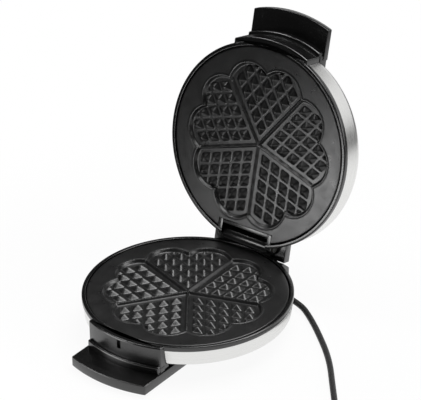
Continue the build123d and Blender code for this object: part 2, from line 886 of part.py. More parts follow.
# Mains lead: bushing in the hinge block's side, free lead, coil and plug
bushing_place = exit_place.offset(wall)
with BuildPart() as cord_bushing:
    with BuildSketch(exit_place):
        Circle(cord_radius + wall / 2)
    extrude(amount=wall)
    with BuildSketch(bushing_place):
        Circle(bushing_radius)
    with BuildSketch(bushing_place.offset(bushing_length)):
        Circle(bushing_tip)
    loft()
save(cord_bushing.part, "cord_bushing")
with BuildPart() as cord_clamp:
    with BuildSketch(exit_place.offset(-fit_gap)):
        with Locations((0, parting_height - terminal_floor + clamp_height / 2 - exit_height)):
            Rectangle(clamp_width, clamp_height)
        Circle(cord_radius + running_gap, mode=Mode.SUBTRACT)
    extrude(amount=-2 * wall)
save(cord_clamp.part, "cord_clamp")

cord_points = [
    (70.0, 75.4, 8.0),
    (86.0, 73.4, 6.2),
    (102.0, 64.6, 3.9),
    (129.6, 42.8, 3.55),
    (172.6, 3.4, 3.55),
    (208.6, -42.6, 3.55),
    (243.0, -86.0, 3.55),
    (268.0, -130.0, 3.55),
]


def bend_radii(points):
    """The arc at each corner: 0.45 of the shorter run over the tangent of half the turn."""
    radii = []
    for before, here, after in zip(points, points[1:], points[2:]):
        into = Vector(here) - Vector(before)
        out = Vector(after) - Vector(here)
        turn = math.radians(into.get_angle(out))
        radii.append(0.45 * min(into.length, out.length) / math.tan(turn / 2))
    return radii


cord_radii = bend_radii(cord_points)
print("cord bend radii, mm:", [round(radius, 1) for radius in cord_radii])
with BuildPart() as power_cord:
    with BuildLine() as cord_path:
        FilletPolyline(*cord_points, radius=cord_radii)
    with BuildSketch(Plane(cord_path.line @ 0, z_dir=cord_path.line % 0)):
        Circle(cord_radius)
    sweep(path=cord_path.line)
cord_length = sum(edge.length for edge in cord_path.edges())
print("free lead, mm:", round(cord_length, 1))
cord_section = math.pi * cord_radius**2
print("volume ratio of the lead:", round(power_cord.part.volume / (cord_section * cord_length), 4))
save(power_cord.part, "power_cord")

# The coil winds clockwise: in on the floor, up half a turn, and out again on top
coil_start = Vector(*cord_points[-1])
coil_heading = (coil_start - Vector(*cord_points[-2])).normalized()
coil_entry = coil_start + coil_heading * cord_diameter
coil_side = Vector(coil_heading.Y, -coil_heading.X, 0)
coil_centre = coil_entry + coil_side * coil_radius
coil_turns = turns_in + turns_climb + turns_out


def coil_place(turns):
    """A point of the coil's middle line, by the turns wound so far."""
    radius = coil_radius - coil_pitch * turns
    height = 0.0
    if turns > turns_in:
        climbed = min(turns - turns_in, turns_climb)
        least = coil_radius - coil_pitch * turns_in
        radius = least - coil_pitch * climbed * (1 - climbed / turns_climb)
        radius += coil_pitch * max(turns - turns_in - turns_climb, 0)
        height = coil_lift * (1 - math.cos(math.pi * climbed / turns_climb)) / 2
    start = math.atan2(-coil_side.Y, -coil_side.X)
    angle = start - 2 * math.pi * turns
    return coil_centre + Vector(radius * math.cos(angle), radius * math.sin(angle), height)


def coil_direction(turns):
    """The direction of the coil's middle line, from two points close beside this one."""
    step = 0.0005
    low = max(turns - step, 0)
    high = min(turns + step, coil_turns)
    return (coil_place(high) - coil_place(low)).normalized()


def biarc(start, heading, end, leaving):
    """Two arcs from one point and heading to another, tangent where they meet."""
    gap = end - start
    both = heading + leaving
    spread = 2 * (1 - heading.dot(leaving))
    reach = (-gap.dot(both) + math.sqrt(gap.dot(both) ** 2 + spread * gap.dot(gap))) / spread
    meet = (start + heading * reach + end - leaving * reach) / 2
    through = (end - leaving * reach - start - heading * reach).normalized()
    TangentArc(start, meet, tangent=heading)
    TangentArc(meet, end, tangent=through)


quarters = round(coil_turns * 4)
with BuildPart() as power_cord_coil:
    with BuildLine() as coil_path:
        Line(coil_start, coil_entry)
        heading = coil_heading
        for quarter in range(quarters):
            leaving = coil_direction((quarter + 1) / 4)
            biarc(coil_place(quarter / 4), heading, coil_place((quarter + 1) / 4), leaving)
            heading = leaving
        coil_end = coil_place(coil_turns)
        Line(coil_end, coil_end + heading * cord_diameter)
    with BuildSketch(Plane(coil_start, z_dir=coil_heading)):
        Circle(cord_radius)
    sweep(path=coil_path.line)
coil_length = sum(edge.length for edge in coil_path.edges())
samples_per_turn = 72
samples = [
    coil_place(step / samples_per_turn)
    for step in range(round(coil_turns * samples_per_turn) + 1)
]
least_gap = min(
    (samples[first] - samples[second]).length - cord_diameter
    for first in range(len(samples))
    for second in range(first + samples_per_turn // 3, len(samples))
)
print("coil length, mm:", round(coil_length, 1), "least gap between turns, mm:", round(least_gap, 2))
print("volume ratio of the coil:", round(power_cord_coil.part.volume / (cord_section * coil_length), 4))
save(power_cord_coil.part, "power_cord_coil")

# Plug: a tapered boot, a flat moulded body and two round pins
plug_start = coil_end + heading * cord_diameter
plug_line = Vector(heading.X, heading.Y, 0).normalized()
plug_place = Plane(plug_start, x_dir=(-plug_line.Y, plug_line.X, 0), z_dir=plug_line)
with BuildPart() as mains_plug:
    with BuildSketch(plug_place):
        Circle(boot_radius)
    with BuildSketch(plug_place.offset(boot_length)):
        Circle(boot_end_radius)
    loft()
    with BuildSketch(plug_place.offset(boot_length)):
        RectangleRounded(plug_neck_width, plug_neck_height, plug_corner)
    with BuildSketch(plug_place.offset(boot_length + plug_neck_length)):
        RectangleRounded(plug_width, plug_height, plug_corner)
    loft()
    with BuildSketch(plug_place.offset(boot_length + plug_neck_length)):
        RectangleRounded(plug_width, plug_height, plug_corner)
    extrude(amount=plug_length - plug_neck_length)
save(mains_plug.part, "mains_plug")
with BuildPart() as plug_pins:
    with BuildSketch(plug_place.offset(boot_length + plug_length)):
        with Locations((-plug_pin_spacing / 2, 0), (plug_pin_spacing / 2, 0)):
            Circle(plug_pin_radius)
    extrude(amount=plug_pin_length)
    tips = plug_pins.edges().filter_by(GeomType.CIRCLE).group_by(Axis(plug_start, plug_line))[-1]
    fillet(tips, plug_pin_radius / 2)
save(plug_pins.part, "plug_pins")
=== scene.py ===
"""Looks of the heart waffle maker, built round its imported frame.

The object stands open on a pale floor. Two round halves meet at a hinge: each holds a coated
cooking plate with five hearts in a black plastic casing with a steel skin. The sizes of the
pieces are in millimetres and their meshes are in metres.
"""

from __future__ import annotations

import json
import logging
import math
from dataclasses import dataclass, field
from enum import Enum
from typing import Callable, Iterable

import bmesh
import bpy
import numpy as np
from bmesh.types import BMEdge, BMesh, BMVert
from bpy.types import Material, Mesh, Node, NodeSocket, NodeTree, Object, bpy_prop_collection
from mathutils import Matrix, Vector

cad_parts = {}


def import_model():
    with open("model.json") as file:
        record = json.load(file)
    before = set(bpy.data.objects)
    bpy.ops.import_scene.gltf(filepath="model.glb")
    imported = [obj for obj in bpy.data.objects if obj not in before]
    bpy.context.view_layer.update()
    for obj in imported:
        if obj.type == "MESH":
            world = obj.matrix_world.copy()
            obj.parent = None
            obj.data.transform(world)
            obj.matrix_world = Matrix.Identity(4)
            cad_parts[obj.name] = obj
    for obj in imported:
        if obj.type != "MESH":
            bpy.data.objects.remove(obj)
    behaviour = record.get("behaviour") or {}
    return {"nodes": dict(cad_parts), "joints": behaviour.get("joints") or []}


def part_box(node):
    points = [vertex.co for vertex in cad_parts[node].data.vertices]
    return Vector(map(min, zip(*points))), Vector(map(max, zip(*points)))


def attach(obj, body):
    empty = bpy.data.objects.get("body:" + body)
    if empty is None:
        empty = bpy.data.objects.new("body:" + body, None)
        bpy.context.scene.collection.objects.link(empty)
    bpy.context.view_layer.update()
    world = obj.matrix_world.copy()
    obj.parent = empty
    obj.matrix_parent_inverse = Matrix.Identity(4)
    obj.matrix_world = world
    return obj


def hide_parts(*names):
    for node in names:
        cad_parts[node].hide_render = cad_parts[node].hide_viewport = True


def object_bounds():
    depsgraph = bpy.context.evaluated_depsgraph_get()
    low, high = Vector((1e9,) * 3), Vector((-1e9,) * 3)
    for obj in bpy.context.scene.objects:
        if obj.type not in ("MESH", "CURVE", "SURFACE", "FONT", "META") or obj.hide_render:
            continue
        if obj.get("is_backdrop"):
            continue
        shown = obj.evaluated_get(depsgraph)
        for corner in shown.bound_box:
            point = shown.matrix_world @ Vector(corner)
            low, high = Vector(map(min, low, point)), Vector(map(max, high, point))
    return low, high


log = logging.getLogger("waffle_maker")

MM = 0.001
MERGE = 1e-6  # points closer than this, in metres, are one
TINY = 1e-9  # keeps a length that is divided by above zero
TURN = 2 * math.pi
NOISE_RANGE = (0.3, 0.7)  # where most values of a noise lie
SEGMENTS = 180  # of a full turn
CORNER_STEPS = 4
CORNER_SHARE = 0.49  # of a side that a corner's arc may take
BRUSHING = "brushing"

Pair = tuple[float, float]
Point = tuple[float, float, float]
Placing = Callable[[np.ndarray, np.ndarray, np.ndarray], np.ndarray]
NodeTable = dict[str, Object]


class Body(Enum):
    """The bodies that pieces ride on."""

    BASE = "base"
    LID = "lid"
    DIAL = "dial"


class Slot(Enum):
    """The record's material slots."""

    PLASTIC = "black_plastic"
    STEEL = "brushed_steel"
    COATING = "dark_coating"
    RUBBER = "lead_rubber"
    LIGHT_RED = "red_lens"
    LIGHT_GREEN = "green_lens"


# Frame of the two halves


@dataclass(frozen=True)
class Half:
    """One half of the object as a plane: Z is the depth away from the parting, Y the hinge."""

    origin: np.ndarray
    x_dir: np.ndarray
    y_dir: np.ndarray
    z_dir: np.ndarray

    def place(self, x: np.ndarray, y: np.ndarray, depth: np.ndarray) -> np.ndarray:
        """Turns places in the half, in millimetres, into points in metres.

        Args:
            x: Places across the half.
            y: Places towards the hinge.
            depth: Depths away from the parting plane.

        Returns:
            An array of points, with the shape of the inputs and three numbers each.
        """
        x, y, depth = np.broadcast_arrays(x, y, depth)
        x, y, depth = x[..., None], y[..., None], depth[..., None]
        return self.origin + (x * self.x_dir + y * self.y_dir + depth * self.z_dir) * MM

    def across(self, u: np.ndarray, v: np.ndarray, w: np.ndarray) -> np.ndarray:
        """Places a slab that runs across the half: u to the hinge, v the depth, w across."""
        return self.place(w, u, v)


def base_half() -> Half:
    """The base's half: its disc centre comes from the plate's box, its Z points down.

    Returns:
        The half, with its origin at the height of the parting.
    """
    low, high = (np.array(corner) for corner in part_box("base_cooking_plate"))
    housing_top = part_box("base_steel_band")[1][2] + BAND_TOP * MM
    origin = np.array([(low[0] + high[0]) / 2, (low[1] + high[1]) / 2, housing_top])
    return Half(origin, np.array([-1.0, 0, 0]), np.array([0, 1.0, 0]), np.array([0, 0, -1.0]))


def lid_half(base: Half, joint: dict) -> Half:
    """The lid's half: the closed lid's plane turned open about the hinge.

    Args:
        base: The base's half.
        joint: The hinge joint of the record, at rest when open.

    Returns:
        The lid's half as it stands at rest.
    """
    turn = math.radians(joint["range_deg"][1])
    pivot = np.array(joint["pos_m"])
    behind = base.origin - pivot

    def swing(vector: np.ndarray) -> np.ndarray:
        """Turns a vector by the opening angle about X, handle end up.

        Args:
            vector: A direction, or a way from the hinge, of the closed lid.

        Returns:
            The same one of the open lid.
        """
        y = vector[1] * math.cos(turn) + vector[2] * math.sin(turn)
        z = vector[2] * math.cos(turn) - vector[1] * math.sin(turn)
        return np.array([vector[0], y, z])

    return Half(
        pivot + swing(behind),
        np.array([1.0, 0, 0]),
        swing(np.array([0, 1.0, 0])),
        swing(np.array([0, 0, 1.0])),
    )


# Sizes of the halves in millimetres, as the frame has them

DISC_RADIUS = 120.0
HALF_GAP = 0.15
RIM_INNER = 115.6
RIM_HEIGHT = 6.1
RIM_SEAT = 118.9
WALL = 2.4
BASE_WALL_LOW = 116.7
BASE_BAND_BOTTOM = 23.9
BAND_TOP = 6.4
BAND_RADIUS = 119.6
BAND_LOW_RADIUS = 117.4
BASE_DEPTH = 44.0
DISH_RADIUS = 82.0
FLOOR_TOP = 39.6
COVER_SEAT = 78.3
COVER_TOP = 42.0
HANDLE_HALF = 50.0
BLOCK_RADIUS = 125.5
LEDGE_RADIUS = 129.0
LIP_ROUND = 1.9
LEDGE_DEPTH = 23.0
SLOT_HALF = 2.5
SLOT_TOP = 2.6
SLOT_BOTTOM = 12.6
TONGUE_REACH = 154.3
TONGUE_HALF = 51.2
LEDGE_HALF = 49.2
BASE_TONGUE_TOP = 32.3
LID_TONGUE_BOTTOM = 34.0
PANEL_DEPTH = 42.2
PANEL_BACK = 60.0
LID_WALL_DEPTH = 26.6
LID_RING_DEPTH = 25.4
HINGE_BEHIND = 115.9
HINGE_ABOVE = 11.0
BARREL_RADIUS = 8.0
BARREL_HALF = 31.0
CHEEK_FRONT = 31.3
CHEEK_BACK = 37.4
SWING_RADIUS = 13.0

# Sizes of the rim and the front pieces, which both halves share

BLOCK_INNER = 118.0
BLOCK_CORNER = 1.2
LEDGE_INNER = 112.0
LEDGE_CORNER = 1.6
LEDGE_LIP = 2.2
LIP_STEPS = 6
SUNK_EDGE = 0.2
TONGUE_EDGE = 0.8
OVERLAP = 1.0
BLOCK_OVERLAP = 3.0
FRONT_CORNER_STEPS = 5
FRONT_STEPS = 48
REAR_STEPS = 30
SLOT_SIDE = 4e-4
RIM_CORNERS = (
    (RIM_INNER, HALF_GAP, 0.7),
    (DISC_RADIUS, HALF_GAP, 1.1),
    (DISC_RADIUS, RIM_HEIGHT, 0.6),
    (RIM_SEAT, RIM_HEIGHT, 0.2),
)


# Mesh making


def link(mesh: Mesh) -> Object:
    """Makes an object of a mesh, at the origin, and links it to the scene.

    Args:
        mesh: The mesh, in the world's own places.

    Returns:
        The object.
    """
    piece = bpy.data.objects.new(mesh.name, mesh)
    bpy.context.scene.collection.objects.link(piece)
    return piece


def arc_points(centre: np.ndarray, start: np.ndarray, end: np.ndarray, steps: int) -> np.ndarray:
    """Points on the short arc about a centre from one point to another, ends included.

    Args:
        centre: Centre of the arc.
        start: Its first point.
        end: Its last point.
        steps: How many steps it is cut into.

    Returns:
        The points, one row each.
    """
    first = math.atan2(*(start - centre)[::-1])
    turn = math.atan2(*(end - centre)[::-1]) - first
    turn = (turn + math.pi) % TURN - math.pi
    angles = first + turn * np.linspace(0, 1, steps + 1)
    radius = np.linalg.norm(start - centre)
    return centre + radius * np.stack([np.cos(angles), np.sin(angles)], axis=1)


def rounded(corners: list[Point]) -> np.ndarray:
    """A closed outline with an arc at each corner.

    Args:
        corners: Points (x, y, radius); a corner with radius 0 stays sharp.

    Returns:
        The outline's points, one row each. An arc touches both sides at the radius over the
        tangent of half the corner's angle, and no further than almost half of the shorter side.
    """
    points = [np.array(corner[:2], float) for corner in corners]
    radii = [corner[2] for corner in corners]
    parts = []
    for index, here in enumerate(points):
        into = points[index - 1] - here
        out = points[(index + 1) % len(points)] - here
        sides = min(np.linalg.norm(into), np.linalg.norm(out))
        into, out = into / np.linalg.norm(into), out / np.linalg.norm(out)
        half = math.acos(float(np.clip(into @ out, -1, 1))) / 2
        reach = min(radii[index] / math.tan(half), CORNER_SHARE * sides) if radii[index] else 0.0
        if reach == 0.0:
            parts.append(here[None])
            continue
        middle = (into + out) / np.linalg.norm(into + out)
        centre = here + middle * reach / math.cos(half)
        first, last = here + into * reach, here + out * reach
        parts.append(arc_points(centre, first, last, CORNER_STEPS))
    return np.concatenate(parts)


def framed(x: Pair, y: Pair, radii: tuple[float, float, float, float]) -> np.ndarray:
    """A rectangle's outline, from its low corner along x first, with each corner's radius."""
    return rounded(list(zip((x[0], x[1], x[1], x[0]), (y[0], y[0], y[1], y[1]), radii)))


def circle(centre: Pair, radius: float, count: int) -> np.ndarray:
    """A round outline: points at even angles about a centre."""
    angles = np.linspace(0, TURN, count, endpoint=False)
    return np.array(centre) + radius * np.stack([np.cos(angles), np.sin(angles)], axis=1)


def inward_steps(outline: np.ndarray) -> np.ndarray:
    """Steps that take each point of a closed outline one millimetre inside it.

    A point moves along the mean of its two sides' inner normals, further where they meet at an
    angle: by one over the cosine of the mean to the side, but by 2 at most.

    Args:
        outline: The closed outline, in millimetres.

    Returns:
        A step for each point, one row each.
    """
    following = np.roll(outline, -1, axis=0)
    along, before = (
        side / np.maximum(np.linalg.norm(side, axis=1, keepdims=True), TINY)
        for side in (following - outline, outline - np.roll(outline, 1, axis=0))
    )
    mean = np.stack([-(along + before)[:, 1], (along + before)[:, 0]], axis=1)
    mean /= np.maximum(np.linalg.norm(mean, axis=1, keepdims=True), TINY)
    cosine = np.sum(np.stack([-along[:, 1], along[:, 0]], axis=1) * mean, axis=1)
    twice_area = np.sum(outline[:, 0] * following[:, 1] - following[:, 0] * outline[:, 1])
    return math.copysign(1, twice_area) * mean / np.maximum(cosine, 0.5)[:, None]


class Shell:
    """Collects closed surfaces into one mesh."""

    def __init__(self) -> None:
        """Starts with no surface."""
        self.points: list[np.ndarray] = []
        self.faces: list[list[int]] = []
        self.count = 0

    def grid(self, points: np.ndarray, close: bool = False) -> None:
        """Adds a grid of quads whose last column is joined to the first.

        Args:
            points: Rows of points, (rows, columns, 3).
            close: Joins the last row to the first, otherwise the end rows get caps.
        """
        rows, columns = points.shape[:2]
        index = self.count + np.arange(rows * columns).reshape(rows, columns)
        index = np.concatenate([index, index[:, :1]], axis=1)
        if close:
            index = np.concatenate([index, index[:1]], axis=0)
        quads = [index[:-1, :-1], index[:-1, 1:], index[1:, 1:], index[1:, :-1]]
        self.faces += np.stack(quads, axis=-1).reshape(-1, 4).tolist()
        if not close:
            self.faces += [index[0, :-1][::-1].tolist(), index[-1, :-1].tolist()]
        self.points.append(points.reshape(-1, 3))
        self.count += rows * columns

    def turned(self, half: Half, outline: np.ndarray) -> None:
        """Carries a closed outline of radius and depth once round the half's middle line.

        Args:
            half: The half that it lies in.
            outline: Radius and depth, one row each point.
        """
        angles = np.linspace(0, TURN, SEGMENTS, endpoint=False)
        radius, depth = outline[:, 0][:, None], outline[:, 1][:, None]
        ring = half.place(radius * np.cos(angles), radius * np.sin(angles), depth)
        self.grid(ring, close=True)

    def turned_open(self, half: Half, outline: np.ndarray, gap_half: float) -> None:
        """Carries a closed outline round the middle line, but for a straight gap at the hinge.

        Each point of the outline starts at the angle whose sine is the gap's half width over the
        point's radius, so that both ends are flat.

        Args:
            half: The half that it lies in.
            outline: Radius and depth, one row each point.
            gap_half: Half of the gap's width.
        """
        radius, depth = outline[:, 0][:, None], outline[:, 1][:, None]
        start = np.arcsin(gap_half / radius)
        angles = start + (TURN - 2 * start) * np.linspace(0, 1, SEGMENTS)
        ring = half.place(radius * np.sin(angles), radius * np.cos(angles), depth)
        self.grid(np.swapaxes(ring, 0, 1))

    def slab(
        self,
        place: Placing,
        outline: np.ndarray,
        low: float,
        high: float,
        edge: float = 0.6,
        high_edge: float | None = None,
        steps: int = 3,
        levels: Iterable[float] = (),
        dent: Callable[[np.ndarray, float], np.ndarray] | None = None,
    ) -> None:
        """Adds a plate with rounded edges.

        The outline is repeated in rows: along an edge of radius e, a row that lies e(1 - sin t)
        inside is e(1 - cos t) from the face, for t from 0 to a quarter turn.

        Args:
            place: Turns outline and height into points.
            outline: The closed outline, in millimetres.
            low: Where the plate starts.
            high: Where it ends.
            edge: Radius of the edge at the start.
            high_edge: Radius of the edge at the end, if it differs.
            steps: Segments of each edge.
            levels: Heights of more rows between the edges.
            dent: Gives how far each point of a row is pushed along the outline's second axis.
        """
        high_edge = edge if high_edge is None else high_edge
        between = np.array(sorted(levels))
        quarter = np.linspace(0, math.pi / 2, steps + 1)
        fall, rise = 1 - np.cos(quarter), (1 - np.cos(quarter))[::-1]
        inset, reach = 1 - np.sin(quarter), (1 - np.sin(quarter))[::-1]
        insets = np.concatenate([edge * inset, 0 * between, high_edge * reach])
        heights = np.concatenate([low + edge * fall, between, high - high_edge * rise])
        steps_in = inward_steps(outline)
        rows = []
        for inset, height in zip(insets, heights):
            row = outline + inset * steps_in
            if dent is not None:
                row[:, 1] += dent(outline, height)
            rows.append(place(row[:, 0], row[:, 1], np.full(len(row), height)))
        self.grid(np.array(rows))

    def make(self, name: str, smooth_angle: float = 40.0) -> Object:
        """Makes the object, with its faces outwards and shaded smooth up to an angle.

        Args:
            name: The object's name.
            smooth_angle: The angle, in degrees.

        Returns:
            The object.
        """
        mesh = bpy.data.meshes.new(name)
        mesh.from_pydata(np.concatenate(self.points).tolist(), [], self.faces)
        work = merged(mesh)
        bmesh.ops.recalc_face_normals(work, faces=work.faces)
        shade(work, mesh, smooth_angle)
        return link(mesh)


def shade(work: BMesh, mesh: Mesh, smooth_angle: float) -> None:
    """Shades the faces smooth, sharp where they meet above an angle, and writes the mesh.

    Args:
        work: The opened mesh, which is freed afterwards.
        mesh: The mesh that it is written to.
        smooth_angle: The angle, in degrees.
    """
    limit = math.radians(smooth_angle)
    for edge in work.edges:
        edge.smooth = len(edge.link_faces) == 2 and edge.calc_face_angle(0.0) < limit
    for face in work.faces:
        face.smooth = True
    work.to_mesh(mesh)
    work.free()
    mesh.update()


def merged(mesh: Mesh) -> BMesh:
    """Opens a mesh with its doubled points merged.

    Args:
        mesh: The mesh, which stays as it is.

    Returns:
        The opened mesh.
    """
    work = bmesh.new()
    work.from_mesh(mesh)
    bmesh.ops.remove_doubles(work, verts=work.verts, dist=MERGE)
    return work


def smoothed_copy(node: Object, name: str, smooth_angle: float) -> Object:
    """A merged and smoothly shaded copy of a frame node's mesh, without its stored normals.

    Args:
        node: The frame's node.
        name: Name of the copy.
        smooth_angle: The angle above which faces meet sharply, in degrees.

    Returns:
        The copy.
    """
    mesh = node.data.copy()
    mesh.name = name
    mesh.materials.clear()
    if "custom_normal" in mesh.attributes:
        mesh.attributes.remove(mesh.attributes["custom_normal"])
    shade(merged(mesh), mesh, smooth_angle)
    return link(mesh)


# Finishes


class Nodes:
    """A short way to write a node tree."""

    def __init__(self, tree: NodeTree) -> None:
        """Keeps the tree."""
        self.tree = tree

    def add(
        self, kind: str, inputs: dict[str | int, object] | None = None, **settings: str
    ) -> Node:
        """Adds a node.

        Args:
            kind: Its type.
            inputs: What each input gets, by its name or number: a socket or a value.
            settings: Its properties.

        Returns:
            The node.
        """
        node = self.tree.nodes.new(kind)
        for key, value in settings.items():
            setattr(node, key, value)
        for key, value in (inputs or {}).items():
            if isinstance(value, NodeSocket):
                self.join(value, node.inputs[key])
            else:
                node.inputs[key].default_value = value
        return node

    def join(self, source: NodeSocket, target: NodeSocket) -> None:
        """Links two sockets."""
        self.tree.links.new(source, target)

    def math(self, operation: str, *terms: object) -> NodeSocket:
        """The result of a sum of sockets and numbers."""
        return self.add("ShaderNodeMath", dict(enumerate(terms)), operation=operation).outputs[0]

    def vector(self, operation: str, *terms: object) -> NodeSocket:
        """The number that comes out of a sum of vectors."""
        node = self.add("ShaderNodeVectorMath", dict(enumerate(terms)), operation=operation)
        return node.outputs["Value"]

    def span(
        self, source: NodeSocket, start: Pair, end: Pair, ease: str = "LINEAR"
    ) -> NodeSocket:
        """Maps a range of values to another and holds it at the ends.

        Args:
            source: The value.
            start: Ends of its range.
            end: What they become.
            ease: How it runs between them.

        Returns:
            The mapped value.
        """
        names = ("From Min", "From Max", "To Min", "To Max")
        inputs = {"Value": source, **dict(zip(names, (*start, *end)))}
        return self.add("ShaderNodeMapRange", inputs, interpolation_type=ease).outputs["Result"]


class Surface(Nodes):
    """The nodes of a material with a Principled shader."""

    def __init__(self, name: str) -> None:
        """Starts the material.

        Args:
            name: What a maker calls it.
        """
        self.material = bpy.data.materials.new(name)
        self.material.use_nodes = True
        super().__init__(self.material.node_tree)
        self.shader = self.tree.nodes["Principled BSDF"].inputs

    def noise(self, scale: float, detail: float) -> NodeSocket:
        """Noise on Object coordinates.

        Args:
            scale: How fine it is, per metre.
            detail: How many finer layers it has.

        Returns:
            Its value at each point.
        """
        place = self.add("ShaderNodeTexCoord").outputs["Object"]
        inputs = {"Vector": place, "Scale": scale, "Detail": detail}
        return self.add("ShaderNodeTexNoise", inputs).outputs["Fac"]

    def tint(self, source: NodeSocket, dark: Point, light: Point) -> None:
        """Sets the base colour between two tints by a pattern.

        Args:
            source: The pattern.
            dark: The tint at its low end.
            light: The tint at its high end.
        """
        ramp = self.add("ShaderNodeValToRGB", {"Fac": source})
        for index, colour in enumerate((dark, light)):
            ramp.color_ramp.elements[index].position = NOISE_RANGE[index]
            ramp.color_ramp.elements[index].color = (*colour, 1)
        self.join(ramp.outputs["Color"], self.shader["Base Color"])

    def gloss(self, source: NodeSocket, roughness: Pair) -> None:
        """Sets the roughness between two values by a pattern."""
        self.join(self.span(source, NOISE_RANGE, roughness), self.shader["Roughness"])

    def bump(self, source: NodeSocket, height: float) -> None:
        """Bumps the surface by a pattern, with the height in metres."""
        inputs = {"Height": source, "Distance": height, "Strength": 1.0}
        self.join(self.add("ShaderNodeBump", inputs).outputs["Normal"], self.shader["Normal"])


def grey(value: float) -> Point:
    """A tint without a hue."""
    return (value, value, value)


@dataclass(frozen=True)
class Mottled:
    """A finish in two tints with an uneven gloss and a fine grain.

    Attributes:
        name: What a maker calls it.
        dark: Its darker tint.
        light: Its lighter tint.
        speckle: Scale and detail of the noise between the tints.
        roughness: Its least and its most roughness.
        patches: Scale and detail of the noise between those.
        grain: Scale and detail of the bumps.
        grain_height: Their height in metres, where it has any.
        sockets: Other values of the shader.
    """

    name: str
    dark: Point
    light: Point
    speckle: Pair
    roughness: Pair
    patches: Pair = (0.0, 0.0)
    grain: Pair = (0.0, 0.0)
    grain_height: float = 0.0
    sockets: dict[str, float] = field(default_factory=dict)

    def material(self) -> Material:
        """Builds the material. A roughness that is even is set on the shader itself.

        Returns:
            The material.
        """
        surface = Surface(self.name)
        surface.tint(surface.noise(*self.speckle), self.dark, self.light)
        if self.roughness[0] == self.roughness[1]:
            surface.shader["Roughness"].default_value = self.roughness[0]
        else:
            surface.gloss(surface.noise(*self.patches), self.roughness)
        if self.grain_height:
            surface.bump(surface.noise(*self.grain), self.grain_height)
        for name, value in self.sockets.items():
            surface.shader[name].default_value = value
        return surface.material


@dataclass(frozen=True)
class BrushedSteel:
    """Steel sheet brushed along its length, read from the piece's own UV map."""

    name: str = "brushed steel"
    dark: Point = (0.76, 0.76, 0.7486)
    light: Point = (0.88, 0.88, 0.8668)
    roughness: Pair = (0.22, 0.34)
    streaks: Point = (6.0, 5200.0, 1.0)
    groove: float = 0.00002
    anisotropy: float = 0.5
    uv_map: str = BRUSHING

    def material(self) -> Material:
        """Builds the material: long thin streaks in colour, roughness and bump.

        Returns:
            The material.
        """
        surface = Surface(self.name)
        place = surface.add("ShaderNodeUVMap", uv_map=self.uv_map).outputs["UV"]
        mapping = surface.add("ShaderNodeMapping", {"Vector": place, "Scale": self.streaks})
        inputs = {"Vector": mapping.outputs["Vector"], "Scale": 1.0, "Detail": 3.0}
        streaks = surface.add("ShaderNodeTexNoise", inputs).outputs["Fac"]
        surface.tint(streaks, self.dark, self.light)
        surface.gloss(streaks, self.roughness)
        surface.bump(streaks, self.groove)
        surface.shader["Metallic"].default_value = 1.0
        surface.shader["Anisotropic"].default_value = self.anisotropy
        tangent = surface.add("ShaderNodeTangent", direction_type="UV_MAP", uv_map=self.uv_map)
        surface.join(tangent.outputs["Tangent"], surface.shader["Tangent"])
        return surface.material


